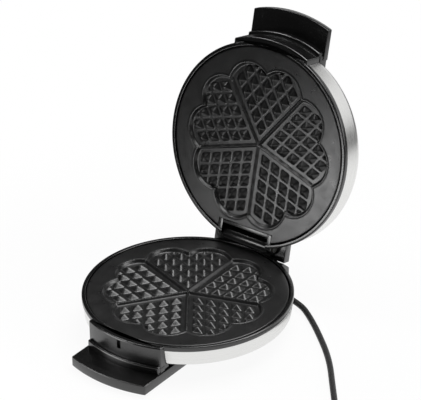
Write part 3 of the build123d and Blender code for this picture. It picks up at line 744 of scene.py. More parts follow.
class Finishes:
    """All materials of the object, built once."""

    def __init__(self) -> None:
        """Builds each material."""
        self.plastic = Mottled(
            "moulded black plastic",
            grey(0.003),
            grey(0.006),
            speckle=(60.0, 2.0),
            roughness=(0.17, 0.25),
            patches=(25.0, 3.0),
            grain=(2600.0, 2.0),
            grain_height=0.00004,
            sockets={"Specular IOR Level": 1.0},
        ).material()
        self.coating = Mottled(
            "non-stick coating",
            grey(0.006),
            grey(0.014),
            speckle=(900.0, 3.0),
            roughness=(0.27, 0.35),
            patches=(70.0, 3.0),
            grain=(1500.0, 3.0),
            grain_height=0.00006,
            sockets={"Specular IOR Level": 0.9},
        ).material()
        self.steel = BrushedSteel().material()
        self.rubber = self.soft("black rubber", (0.012, 0.022), (0.45, 0.6), 1800.0)
        self.foot = self.soft("foot rubber", (0.02, 0.035), (0.6, 0.75), 1800.0)
        self.sheath = self.soft("lead sheath", (0.008, 0.015), (0.42, 0.54), 900.0)
        self.dark_metal = self.metal("plain steel", (0.42, 0.42, 0.41))
        self.sheet = self.metal("aluminised sheet", (0.7, 0.7, 0.7), (0.35, 0.5))
        self.zinc = self.metal("zinc plating", (0.55, 0.55, 0.52), (0.3, 0.45))
        self.brass = self.metal("brass", (0.72, 0.56, 0.27))
        self.nickel = self.metal("nickel plating", (0.78, 0.77, 0.74), (0.12, 0.22))
        self.ceramic = self.pale("pale ceramic", (0.72, 0.71, 0.66))
        self.print_white = self.pale("pale print", (0.6, 0.6, 0.6))
        self.red = self.lens("red lens", (0.45, 0.02, 0.015))
        self.green = self.lens("green lens", (0.03, 0.3, 0.05))

    @staticmethod
    def darker(colour: Point, share: float) -> Point:
        """A share of a colour."""
        return tuple(share * channel for channel in colour)

    def soft(self, name: str, tints: Pair, roughness: Pair, grain: float) -> Material:
        """Matt rubber or soft sheath: a dusty tint and a fine bloom.

        Args:
            name: What a maker calls it.
            tints: Its darker and its lighter grey.
            roughness: Its least and its most roughness.
            grain: How fine the bloom is.

        Returns:
            The material.
        """
        return Mottled(
            name,
            *map(grey, tints),
            speckle=(120.0, 3.0),
            roughness=roughness,
            patches=(200.0, 3.0),
            grain=(grain, 2.0),
            grain_height=0.00003,
        ).material()

    def metal(
        self, name: str, colour: Point, roughness: Pair = (0.25, 0.4)
    ) -> Material:
        """Bare or plated metal of a small piece, slightly mottled.

        Args:
            name: What a maker calls it.
            colour: Its lighter tint.
            roughness: Its least and its most roughness.

        Returns:
            The material.
        """
        return Mottled(
            name,
            self.darker(colour, 0.85),
            colour,
            speckle=(400.0, 2.0),
            roughness=roughness,
            patches=(400.0, 3.0),
            sockets={"Metallic": 1.0},
        ).material()

    def pale(self, name: str, colour: Point) -> Material:
        """Pale ceramic of the inner pieces, and the print on the panel.

        Args:
            name: What a maker calls it.
            colour: Its lighter tint.

        Returns:
            The material.
        """
        return Mottled(
            name,
            self.darker(colour, 0.9),
            colour,
            speckle=(200.0, 2.0),
            roughness=(0.35, 0.5),
            patches=(90.0, 2.0),
        ).material()

    def lens(self, name: str, colour: Point) -> Material:
        """Clear coloured plastic over a lamp, darker in patches, under a clear coat.

        Args:
            name: What a maker calls it.
            colour: Its lighter tint.

        Returns:
            The material.
        """
        return Mottled(
            name,
            self.darker(colour, 0.6),
            colour,
            speckle=(300.0, 2.0),
            roughness=(0.12, 0.12),
            sockets={"Coat Weight": 0.6},
        ).material()


def dress(
    piece: Object,
    finish: Material,
    body: Body,
    replaces: Iterable[str] = (),
    slot: Slot | None = None,
) -> Object:
    """Gives a piece its material and body, and hides the frame nodes that it stands for.

    Args:
        piece: The piece.
        finish: Its material.
        body: The body that it rides on.
        replaces: Frame nodes that it stands for.
        slot: The record's material slot, if it has one. Not used.

    Returns:
        The same piece.
    """
    piece.data.materials.clear()
    piece.data.materials.append(finish)
    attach(piece, body.value)
    if replaces:
        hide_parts(*replaces)
    log.info("%s: %d faces on %s", piece.name, len(getattr(piece.data, "polygons", ())), body.value)
    return piece


# Camera, floor and light


@dataclass(frozen=True)
class Softbox:
    """A soft rectangular lamp that faces a target, in metres and watts."""

    name: str
    place: Point
    target: Point
    size: Pair
    power: float

    def hang(self) -> None:
        """Adds the lamp."""
        data = bpy.data.lights.new(self.name, "AREA")
        data.shape = "RECTANGLE"
        data.size, data.size_y = self.size
        data.energy = self.power
        lamp = bpy.data.objects.new(self.name, data)
        place = Vector(self.place)
        facing = (Vector(self.target) - place).to_track_quat("-Z", "Y").to_matrix().to_4x4()
        lamp.matrix_world = Matrix.Translation(place) @ facing
        bpy.context.scene.collection.objects.link(lamp)


@dataclass(frozen=True)
class Studio:
    """The photograph's view, a white floor and plain soft light.

    Attributes:
        aim: The point that the camera looks at.
        distance: How far it stands from it.
        azimuth: Its direction, in degrees from the front.
        elevation: Its height, in degrees.
        roll: Its turn about its own line of sight.
        lens: Focal length, for a sensor of the next width.
        sensor: Width of the sensor.
        floor_size: Side of the floor.
        floor_colour: The floor's plain colour.
        shadow_share: How much plain shading the camera sees in the floor.
        shadow_within: Up to where it sees all of that share.
        shadow_gone: From where it sees none.
        near_floor: Brightness of the floor's near part in reflections.
        far_floor: Brightness of its far part in reflections.
        bright_middle: Middle of the near part.
        bright_within: Where the near part starts to dim.
        dim_beyond: Where it is as dim as the far part.
        dim_world: Grey of the studio round it.
        backdrop_up: The direction along which the backdrop's height is measured.
        backdrop_full: Height up to which the backdrop is bright.
        backdrop_top: Height at which it ends.
        backdrop_light: Its brightness.
        backdrop_behind: How far behind it starts and is full.
        lamps: The lamps.
    """

    aim: Point = (0.0, 0.0169, 0.1427)
    distance: float = 2.7386
    azimuth: float = 37.02
    elevation: float = 29.457
    roll: float = -0.674
    lens: float = 208.73
    sensor: float = 36.0
    floor_size: float = 14.0
    floor_colour: Point = (0.86, 0.86, 0.86)
    shadow_share: float = 0.07
    shadow_within: float = 0.2
    shadow_gone: float = 0.5
    near_floor: float = 0.95
    far_floor: float = 0.04
    bright_middle: Point = (0.3, 0.05, 0.0)
    bright_within: float = 0.5
    dim_beyond: float = 0.95
    dim_world: float = 0.035
    backdrop_up: Point = (-0.25, 0.0, 1.0)
    backdrop_full: float = 0.28
    backdrop_top: float = 0.42
    backdrop_light: float = 0.9
    backdrop_behind: Pair = (0.1, 0.45)
    lamps: tuple[Softbox, ...] = (
        Softbox("low softbox", (-0.17, -0.36, 0.09), (0.06, 0.1, 0.14), (0.16, 0.14), 0.38),
        Softbox("edge softbox", (-0.68, -0.05, 1.25), (0, 0, 0.12), (0.35, 0.35), 3.2),
        Softbox("top softbox", (0.3, 0.45, 1.6), (0, 0, 0), (1.2, 1.2), 24.0),
        Softbox("right softbox", (1.5, 0.5, 0.7), (0, 0, 0.15), (0.8, 0.8), 9.0),
    )

    def camera(self) -> None:
        """Places the camera on its line of sight to the aim point."""
        azimuth, elevation = math.radians(self.azimuth), math.radians(self.elevation)
        flat = math.cos(elevation)
        away = Vector((math.sin(azimuth) * flat, -math.cos(azimuth) * flat, math.sin(elevation)))
        data = bpy.data.cameras.new("camera")
        data.lens = self.lens
        data.sensor_fit = "HORIZONTAL"
        data.sensor_width = self.sensor
        data.clip_end = 50.0
        camera = bpy.data.objects.new("camera", data)
        look = (-away).to_track_quat("-Z", "Y").to_matrix().to_4x4()
        spin = Matrix.Rotation(math.radians(self.roll), 4, "Z")
        place = Matrix.Translation(Vector(self.aim) + away * self.distance)
        camera.matrix_world = place @ look @ spin
        bpy.context.scene.collection.objects.link(camera)
        bpy.context.scene.camera = camera

    def white_floor(self) -> Material:
        """The floor's material.

        The camera sees white, with a share of plain shading near the object, which shows the
        shadow. Reflections see a white that dims with the distance from a point, where the lamps
        don't reach. All other light meets the plain colour.

        Returns:
            The material.
        """
        material = bpy.data.materials.new("white floor")
        material.use_nodes = True
        nodes = Nodes(material.node_tree)
        nodes.tree.nodes.clear()
        rays = nodes.add("ShaderNodeLightPath").outputs
        place = nodes.add("ShaderNodeTexCoord").outputs["Object"]
        near = (self.bright_within, self.dim_beyond)
        dimming = (self.near_floor - 1, self.far_floor - 1)
        away = nodes.vector("DISTANCE", place, self.bright_middle)
        fade = nodes.span(away, near, dimming, "SMOOTHSTEP")
        shadow = (self.shadow_within, self.shadow_gone)
        reach = nodes.vector("LENGTH", place)
        clean = nodes.span(reach, shadow, (1 - self.shadow_share, 1.0), "SMOOTHSTEP")
        seen = nodes.math("MULTIPLY", rays["Is Camera Ray"], clean)
        strength = nodes.math("MULTIPLY_ADD", rays["Is Glossy Ray"], fade, 1.0)
        glow_share = nodes.math("ADD", rays["Is Glossy Ray"], seen)
        plain = nodes.add("ShaderNodeBsdfDiffuse", {"Color": (*self.floor_colour, 1)})
        glow = nodes.add("ShaderNodeEmission", {"Strength": strength})
        inputs = {"Fac": glow_share, 1: plain.outputs[0], 2: glow.outputs[0]}
        mix = nodes.add("ShaderNodeMixShader", inputs)
        nodes.add("ShaderNodeOutputMaterial", {"Surface": mix.outputs[0]})
        return material

    def floor(self) -> None:
        """Lays a wide white floor under the object."""
        side = self.floor_size / 2
        mesh = bpy.data.meshes.new("floor")
        corners = [(-side, -side, 0), (side, -side, 0), (side, side, 0), (-side, side, 0)]
        mesh.from_pydata(corners, [], [(0, 1, 2, 3)])
        mesh.materials.append(self.white_floor())
        link(mesh)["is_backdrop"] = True

    def world(self) -> None:
        """White where the camera looks, and a dim grey studio for everything else.

        Glossy surfaces also see the low white backdrop behind the object: it fades out between
        two heights of the direction that they mirror.
        """
        world = bpy.data.worlds.new("studio")
        world.use_nodes = True
        nodes = Nodes(world.node_tree)
        rays = nodes.add("ShaderNodeLightPath").outputs
        looked = nodes.add("ShaderNodeTexCoord").outputs["Generated"]
        height = nodes.vector("DOT_PRODUCT", looked, self.backdrop_up)
        heights = (self.backdrop_full, self.backdrop_top)
        low = nodes.span(height, heights, (self.backdrop_light, 0.0), "SMOOTHSTEP")
        depth = nodes.add("ShaderNodeSeparateXYZ", {0: looked}).outputs["Y"]
        behind = nodes.span(depth, self.backdrop_behind, (0.0, 1.0))
        backdrop = nodes.math("MULTIPLY", low, behind)
        seen = nodes.math("MULTIPLY_ADD", rays["Is Glossy Ray"], backdrop, rays["Is Camera Ray"])
        inputs = {"Factor": seen, "A": (*grey(self.dim_world), 1), "B": (*grey(1.0), 1)}
        mix = nodes.add("ShaderNodeMix", inputs, data_type="RGBA")
        nodes.join(mix.outputs["Result"], nodes.tree.nodes["Background"].inputs["Color"])
        bpy.context.scene.world = world

    def build(self) -> None:
        """Sets the camera, the floor, the world and the lamps."""
        self.camera()
        self.floor()
        self.world()
        for lamp in self.lamps:
            lamp.hang()
        bpy.context.scene.view_settings.view_transform = "Standard"


# Mains lead


@dataclass
class MainsLead:
    """The lead from its strain relief to the plug, with its spare length in a coil."""

    finishes: Finishes
    diameter: float = 7.0
    length: float = 1.02
    route: tuple[Point, ...] = (
        (0.0700, 0.0754, 0.0080),
        (0.0860, 0.0734, 0.0062),
        (0.1020, 0.0646, 0.0039),
        (0.1296, 0.0428, 0.00355),
        (0.1726, 0.0034, 0.00355),
        (0.2086, -0.0426, 0.00355),
        (0.2430, -0.0860, 0.00355),
        (0.2680, -0.1300, 0.00355),
    )
    coil_radius: float = 40.0
    coil_pitch: float = 7.7
    coil_lift: float = 7.5
    turns_in: float = 1.25
    turns_climb: float = 0.5
    turns_out: float = 1.5
    points_per_turn: int = 16
    relief_length: float = 20.0
    relief_radius: float = 5.1
    relief_taper: float = 0.95
    relief_ribs: int = 5
    relief_groove: float = 0.55
    relief_grooved: Pair = (0.08, 0.95)
    groove_above: float = 0.2
    neck_radius: float = 4.65
    plug_angle: float = 38.0

    def coil(self) -> np.ndarray:
        """Points of the coil, in metres.

        The turns wind clockwise. The radius shrinks by the pitch for each turn in, the half turn
        of climb lifts the lead by a cosine ease, and the turns on top widen again at the pitch.

        Returns:
            The points from the route's end to the coil's, one row each.
        """
        total = self.turns_in + self.turns_climb + self.turns_out
        turns = np.linspace(0, total, round(total * self.points_per_turn) + 1)
        climbed = np.clip(turns - self.turns_in, 0, self.turns_climb)
        least = self.coil_radius - self.coil_pitch * self.turns_in
        radius = np.where(
            turns < self.turns_in,
            self.coil_radius - self.coil_pitch * turns,
            least
            - self.coil_pitch * climbed * (1 - climbed / self.turns_climb)
            + self.coil_pitch * np.maximum(turns - self.turns_in - self.turns_climb, 0),
        )
        height = self.coil_lift * (1 - np.cos(math.pi * climbed / self.turns_climb)) / 2
        start = np.array(self.route[-1])
        heading = start - np.array(self.route[-2])
        heading /= np.linalg.norm(heading)
        side = np.array([heading[1], -heading[0], 0])
        centre = start + heading * self.diameter * MM + side * self.coil_radius * MM
        angle = math.atan2(-side[1], -side[0]) - TURN * turns
        offsets = np.stack([radius * np.cos(angle), radius * np.sin(angle), height], axis=1)
        return centre + offsets * MM

    def cord(self) -> Object:
        """The whole lead as one smooth spline through its route and its coil.

        Returns:
            The piece.
        """
        coil = self.coil()
        last = coil[-1] - coil[-2]
        last[2] = 0
        end = coil[-1] + last / np.linalg.norm(last) * self.diameter * MM
        points = [*self.route, *coil.tolist(), end.tolist()]
        data = bpy.data.curves.new("mains_lead", "CURVE")
        data.dimensions = "3D"
        spline = data.splines.new("NURBS")
        spline.points.add(len(points) - 1)
        for control, place in zip(spline.points, points):
            control.co = (*place, 1.0)
        spline.order_u = 3
        spline.use_endpoint_u = True
        spline.resolution_u = 14
        data.bevel_depth = self.diameter * MM / 2
        data.bevel_resolution = 5
        data.use_fill_caps = True
        piece = bpy.data.objects.new("mains_lead", data)
        bpy.context.scene.collection.objects.link(piece)
        return piece

    def strain_relief(self) -> Object:
        """A tapered sleeve with ribs: the radius falls along its length, less a rib's groove.

        Returns:
            The piece.
        """
        low, high = (np.array(corner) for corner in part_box("cord_bushing"))
        start = np.array([low[0], (low[1] + high[1]) / 2, (low[2] + high[2]) / 2]) / MM
        length = (high[0] - low[0]) / MM
        along = np.linspace(0, length, num=70)
        neck = length - self.relief_length
        share = np.clip((along - neck) / self.relief_length, 0, 1)
        first, last = self.relief_grooved
        grooved = (share > first) & (share < last)
        waves = np.sin(TURN * self.relief_ribs * share)
        groove = self.relief_groove * (waves > self.groove_above)
        radius = self.relief_radius - self.relief_taper * share - np.where(grooved, groove, 0)
        radius = np.where(along < neck, self.neck_radius, radius)
        ring = circle((0, 0), 1.0, count=40)
        points = np.empty((len(along), len(ring), 3))
        points[..., 0] = start[0] + along[:, None]
        points[..., 1:] = start[1:] + radius[:, None, None] * ring
        shell = Shell()
        shell.grid(points * MM)
        return shell.make("strain_relief", smooth_angle=35.0)

    def build(self, nodes: NodeTable) -> None:
        """Args:
            nodes: The frame's nodes by their names.
        """
        relief = self.strain_relief()
        dress(relief, self.finishes.rubber, Body.BASE, ["cord_bushing"], Slot.RUBBER)
        plug = smoothed_copy(nodes["mains_plug"], "plug_body", self.plug_angle)
        dress(plug, self.finishes.rubber, Body.BASE, ["mains_plug"], Slot.RUBBER)
        lead = self.cord()
        dress(lead, self.finishes.sheath, Body.BASE, ["power_cord", "power_cord_coil"], Slot.RUBBER)
        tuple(self.route[0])


# Cooking plates


@dataclass(frozen=True)
class HeartPattern:
    """The five hearts of a plate as a height over the plate's flat, in millimetres."""

    lobe_count: int = 10
    lobe_circle: float = 67.0
    lobe_radius: float = 29.0
    core: float = 72.0
    hearts: int = 5
    depth: float = 3.7
    wall_run: float = 2.8
    wall_curve: float = 1.8
    lip: float = 0.45
    lip_width: float = 1.0
    pitch: float = 15.05
    offset: float = 5.3
    valley: float = 2.7
    nub_height: float = 4.1
    nub_top: float = 1.0
    rows: int = 5
    border: float = 2.0
    ridge_half: float = 2.0
    ridge_height: float = 3.7
    softness: float = 1.0
    wall_clear: float = 0.8
    wall_rise: float = 2.6

    def inside(self, x: np.ndarray, y: np.ndarray) -> np.ndarray:
        """How far a point lies inside the outline of the hearts: the best of its discs.

        Args:
            x: Places across the plate, in millimetres.
            y: Places towards the hinge.

        Returns:
            The distance at each place, negative outside.
        """
        best = self.core - np.hypot(x, y)
        for angle in np.arange(self.lobe_count) * TURN / self.lobe_count:
            across = x - self.lobe_circle * math.cos(angle)
            along = y - self.lobe_circle * math.sin(angle)
            best = np.maximum(best, self.lobe_radius - np.hypot(across, along))
        return best

    def skew(self, x: np.ndarray, y: np.ndarray) -> tuple[np.ndarray, np.ndarray]:
        """Distances along the two dividers beside a point, which span its heart.

        Args:
            x: Places across the plate, in millimetres.
            y: Places towards the hinge.

        Returns:
            The distances along the first and along the second divider.
        """
        turn = TURN / self.hearts
        angle = np.mod(np.arctan2(y, x) - math.pi / 2, TURN)
        within = np.mod(angle, turn)
        radius = np.hypot(x, y)
        second = radius * np.sin(within) / math.sin(turn)
        first = radius * np.sin(turn - within) / math.sin(turn)
        return first, second

    def nub(self, first: np.ndarray, second: np.ndarray) -> np.ndarray:
        """Height of the nubs: from each rhombic foot four sides rise evenly to a small flat.

        Args:
            first: Distances along the first divider.
            second: Distances along the second divider.

        Returns:
            The height at each place, over the floor.
        """
        lean = math.sin(TURN / self.hearts)
        there, offs = True, []
        for distance in (first - self.offset, second - self.offset):
            cell = np.floor(distance / self.pitch)
            there = there & (cell >= 0) & (cell < self.rows)
            offs.append(np.abs(distance - (cell + 0.5) * self.pitch) * lean)
        blunt = self.softness * np.exp(-np.abs(offs[0] - offs[1]) / self.softness) / 2
        foot = self.pitch * lean / 2 - self.valley / 2
        share = (foot - (np.maximum(*offs) + blunt)) / (foot - self.nub_top)
        return np.where(there, np.clip(share, 0, 1) * self.nub_height, 0)

    def height(self, x: np.ndarray, y: np.ndarray) -> np.ndarray:
        """Height over the plate's flat.

        Outside the outline it is 0, with a faint raised lip on it. Inside, the wall falls steeply
        and runs out into the floor, as a power of what is left of its run. The nubs stand on the
        floor away from the wall, and a sharp ridge runs along each divider.

        Args:
            x: Places across the plate, in millimetres.
            y: Places towards the hinge.

        Returns:
            The height at each place.
        """
        inside = self.inside(x, y)
        left = np.clip(1 - inside / self.wall_run, 0, 1)
        floor = -self.depth * (1 - left**self.wall_curve)
        first, second = self.skew(x, y)
        clear = np.clip((inside - self.border - self.wall_clear) / self.wall_rise, 0, 1)
        nubs = np.minimum(self.nub(first, second), clear * self.nub_height)
        beside = np.minimum(first, second) * math.sin(TURN / self.hearts)
        ridge = self.ridge_height * np.clip(1 - beside / self.ridge_half, 0, 1)
        relief = np.maximum(floor + nubs, np.minimum(-self.depth + ridge, 0.0))
        lip = self.lip * np.exp(-(((inside + self.lip_width) / self.lip_width) ** 2))
        return np.where(inside > 0, relief, 0) + lip


@dataclass
class CookingPlate:
    """A coated cast plate in one half."""

    half: Half
    finishes: Finishes
    name: str
    body: Body
    node: str
    notched: bool
    pattern: HeartPattern = field(default_factory=HeartPattern)
    radius: float = 114.6
    recess: float = 1.2
    back: float = 5.2
    steps: int = 290
    notch_front: float = 97.7
    notch_half: float = 37.7
    edge_round: float = 1.2
    smooth_angle: float = 62.0

    def disc(self) -> tuple[np.ndarray, np.ndarray]:
        """A square grid drawn onto the disc.

        Each square ring of the grid becomes a circle: the larger of the two square coordinates is
        the radius, and the ratio of the two, times an eighth turn, is the angle.

        Returns:
            The points' x and y, as two square arrays.
        """
        line = np.linspace(-1, 1, self.steps + 1)
        a, b = np.meshgrid(line, line, indexing="ij")
        wide = np.abs(a) >= np.abs(b)
        long = np.where(wide, a, b)
        short = np.where(wide, b, a)
        ratio = np.divide(short, long, out=np.zeros_like(short), where=long != 0)
        angle = ratio * math.pi / 4
        x = np.where(wide, long * np.cos(angle), long * np.sin(angle))
        y = np.where(wide, long * np.sin(angle), long * np.cos(angle))
        return x * self.radius, y * self.radius

    def settle(self, x: np.ndarray, y: np.ndarray) -> tuple[np.ndarray, np.ndarray]:
        """Moves points that lie close to a contour of the hearts' outline onto it.

        Args:
            x: Places across the plate, in millimetres.
            y: Places towards the hinge.

        Returns:
            The points' new x and y.
        """
        cell = 2 * self.radius / self.steps
        step = 0.01
        for level in (0.0, self.pattern.wall_run):
            inside = self.pattern.inside(x, y)
            slope_x = (self.pattern.inside(x + step, y) - inside) / step
            slope_y = (self.pattern.inside(x, y + step) - inside) / step
            near = np.abs(inside - level) < cell / 2
            x = np.where(near, x + slope_x * (level - inside), x)
            y = np.where(near, y + slope_y * (level - inside), y)
        return x, y

    def triangles(self, height: np.ndarray) -> np.ndarray:
        """Cuts each cell of the grid along the diagonal whose ends differ less in height.

        Args:
            height: Height at each point of the grid.

        Returns:
            The three points of each triangle, by their numbers in the grid.
        """
        size = self.steps + 1
        index = np.arange(size * size).reshape(size, size)
        corners = [index[:-1, :-1], index[1:, :-1], index[1:, 1:], index[:-1, 1:]]
        levels = [height.reshape(-1)[corner] for corner in corners]
        straight = (np.abs(levels[0] - levels[2]) <= np.abs(levels[1] - levels[3]))[..., None]

        def cut(*ways: tuple[int, int, int]) -> np.ndarray:
            """One triangle of each cell, given by its corners for either diagonal."""
            chosen = [np.stack([corners[corner] for corner in way], -1) for way in ways]
            return np.where(straight, *chosen).reshape(-1, 3)

        return np.concatenate([cut((0, 1, 2), (0, 1, 3)), cut((0, 2, 3), (1, 2, 3))])

    def to_notch(self, x: np.ndarray, y: np.ndarray) -> tuple[np.ndarray, np.ndarray]:
        """Moves points that lie close to the notch's sides and front onto them.

        Args:
            x: Places across the plate, in millimetres.
            y: Places towards the hinge.

        Returns:
            The points' new x and y.
        """
        snap = 2 * self.radius / self.steps
        side = (np.abs(np.abs(x) - self.notch_half) < snap / 2) & (y > self.notch_front - snap)
        x = np.where(side, np.sign(x) * self.notch_half, x)
        front = (np.abs(y - self.notch_front) < snap / 2) & (np.abs(x) < self.notch_half + snap)
        return x, np.where(front, self.notch_front, y)

    def make(self) -> Object:
        """The plate's worked face, its sides and its flat back.

        Returns:
            The piece.
        """
        x, y = self.settle(*self.disc())
        flat = self.radius - self.edge_round
        rim = np.clip((np.hypot(x, y) - flat) / self.edge_round, 0, 1)
        height = self.pattern.height(x, y) - self.edge_round * rim**2 / 2
        triangles = self.triangles(height)
        if self.notched:
            x, y = self.to_notch(x, y)
            middle_x = x.reshape(-1)[triangles].mean(axis=1)
            middle_y = y.reshape(-1)[triangles].mean(axis=1)
            cut_out = (np.abs(middle_x) < self.notch_half) & (middle_y > self.notch_front)
            triangles = triangles[~cut_out]
        points = self.half.place(x, y, self.recess - height)
        mesh = bpy.data.meshes.new(self.name)
        mesh.from_pydata(points.reshape(-1, 3).tolist(), [], triangles.tolist())
        self.close(mesh)
        return link(mesh)

    def close(self, mesh: Mesh) -> None:
        """Gives the worked face its sides and its flat back.

        Args:
            mesh: The mesh, so far the worked face alone.
        """
        work = bmesh.new()
        work.from_mesh(mesh)
        loose = [vert for vert in work.verts if not vert.link_faces]
        bmesh.ops.delete(work, geom=loose, context="VERTS")
        open_edges = [edge for edge in work.edges if len(edge.link_faces) == 1]
        made = bmesh.ops.extrude_edge_only(work, edges=open_edges)["geom"]
        origin, outward = self.half.origin, self.half.z_dir
        for item in made:
            if isinstance(item, BMVert):
                depth = float((np.array(item.co) - origin) @ outward)
                item.co = Vector(np.array(item.co) + outward * (self.back * MM - depth))
        low_edges = [item for item in made if isinstance(item, BMEdge)]
        bmesh.ops.edgeloop_fill(work, edges=low_edges)
        bmesh.ops.recalc_face_normals(work, faces=work.faces)
        shade(work, mesh, self.smooth_angle)

    def build(self) -> None:
        """Builds the plate in place of its node."""
        dress(self.make(), self.finishes.coating, self.body, [self.node], Slot.COATING)


# Casings


def front_plan(
    radius: float, half: float, corner: float, back: float, ring: bool = False
) -> np.ndarray:
    """Plan of a piece of the front: straight sides and an arc about the disc's centre.

    Args:
        radius: Radius of the front arc.
        half: Half of the width.
        corner: Radius of the two front corners.
        back: How far from the middle it ends, or the radius of its back.
        ring: Ends the piece in an arc instead of a straight line.

    Returns:
        The closed outline, with points at the sides of the catch's slot.
    """
    middle = math.sqrt((radius - corner) ** 2 - (half - corner) ** 2)
    half_turn = math.asin((half - corner) / (radius - corner))
    slot = SLOT_HALF / radius
    slot_turns = [-slot - SLOT_SIDE, -slot, slot, slot + SLOT_SIDE]
    turns = np.concatenate([np.linspace(-half_turn, half_turn, FRONT_STEPS), slot_turns])
    turns.sort()
    front = radius * np.stack([np.sin(turns), -np.cos(turns)], axis=1)
    sides = []
    for side, last in ((-1, front[0]), (1, front[-1])):
        centre = np.array([side * (half - corner), -middle])
        first = np.array([side * half, -middle])
        sides.append(arc_points(centre, first, last, FRONT_CORNER_STEPS)[:-1])
    rear = np.array([[half, -back], [-half, -back]])
    if ring:
        back_turns = math.asin(half / back) * np.linspace(1, -1, REAR_STEPS)
        rear = back * np.stack([np.sin(back_turns), -np.cos(back_turns)], axis=1)
    return np.concatenate([sides[0], front, sides[1][::-1], rear])


class Casing(Shell):
    """The plastic of one half, as closed surfaces in one mesh."""

    def __init__(self, half: Half) -> None:
        """Starts the casing of a half."""
        super().__init__()
        self.half = half

    def front(self, ledge: float, tongue: float, back: float, tongue_end: float) -> None:
        """Adds what both halves have on the block: the ledge and the handle.

        Args:
            ledge: Depth of the ledge.
            tongue: Depth of the handle's near side.
            back: How far from the middle the handle ends.
            tongue_end: Depth of its far side.
        """
        plan = front_plan(LEDGE_RADIUS, LEDGE_HALF, LEDGE_CORNER, LEDGE_INNER, True)
        end = tongue + OVERLAP
        self.slab(self.half.place, plan, ledge, end, LEDGE_LIP, SUNK_EDGE, LIP_STEPS)
        plan = front_plan(TONGUE_REACH, TONGUE_HALF, LEDGE_CORNER, back)
        self.slab(self.half.place, plan, tongue, tongue_end, TONGUE_EDGE)

    def block(
        self,
        ledge: float,
        levels: Iterable[float] = (),
        dent: Callable[[np.ndarray, float], np.ndarray] | None = None,
    ) -> None:
        """Adds the front block over the ledge, with a round lip at the parting.

        Args:
            ledge: Depth of the ledge, into which it runs.
            levels: Heights of more rows.
            dent: How far each point of a row is pushed in.
        """
        plan = front_plan(BLOCK_RADIUS, HANDLE_HALF, BLOCK_CORNER, BLOCK_INNER, True)
        end = ledge + BLOCK_OVERLAP
        edges = (LIP_ROUND, SUNK_EDGE, LIP_STEPS)
        self.slab(self.half.place, plan, HALF_GAP, end, *edges, levels, dent)

    def bar(self, outline: np.ndarray, low: float, high: float, edge: float) -> None:
        """Adds a bar along the hinge, given by its section."""
        self.slab(self.half.across, outline, low, high, edge)


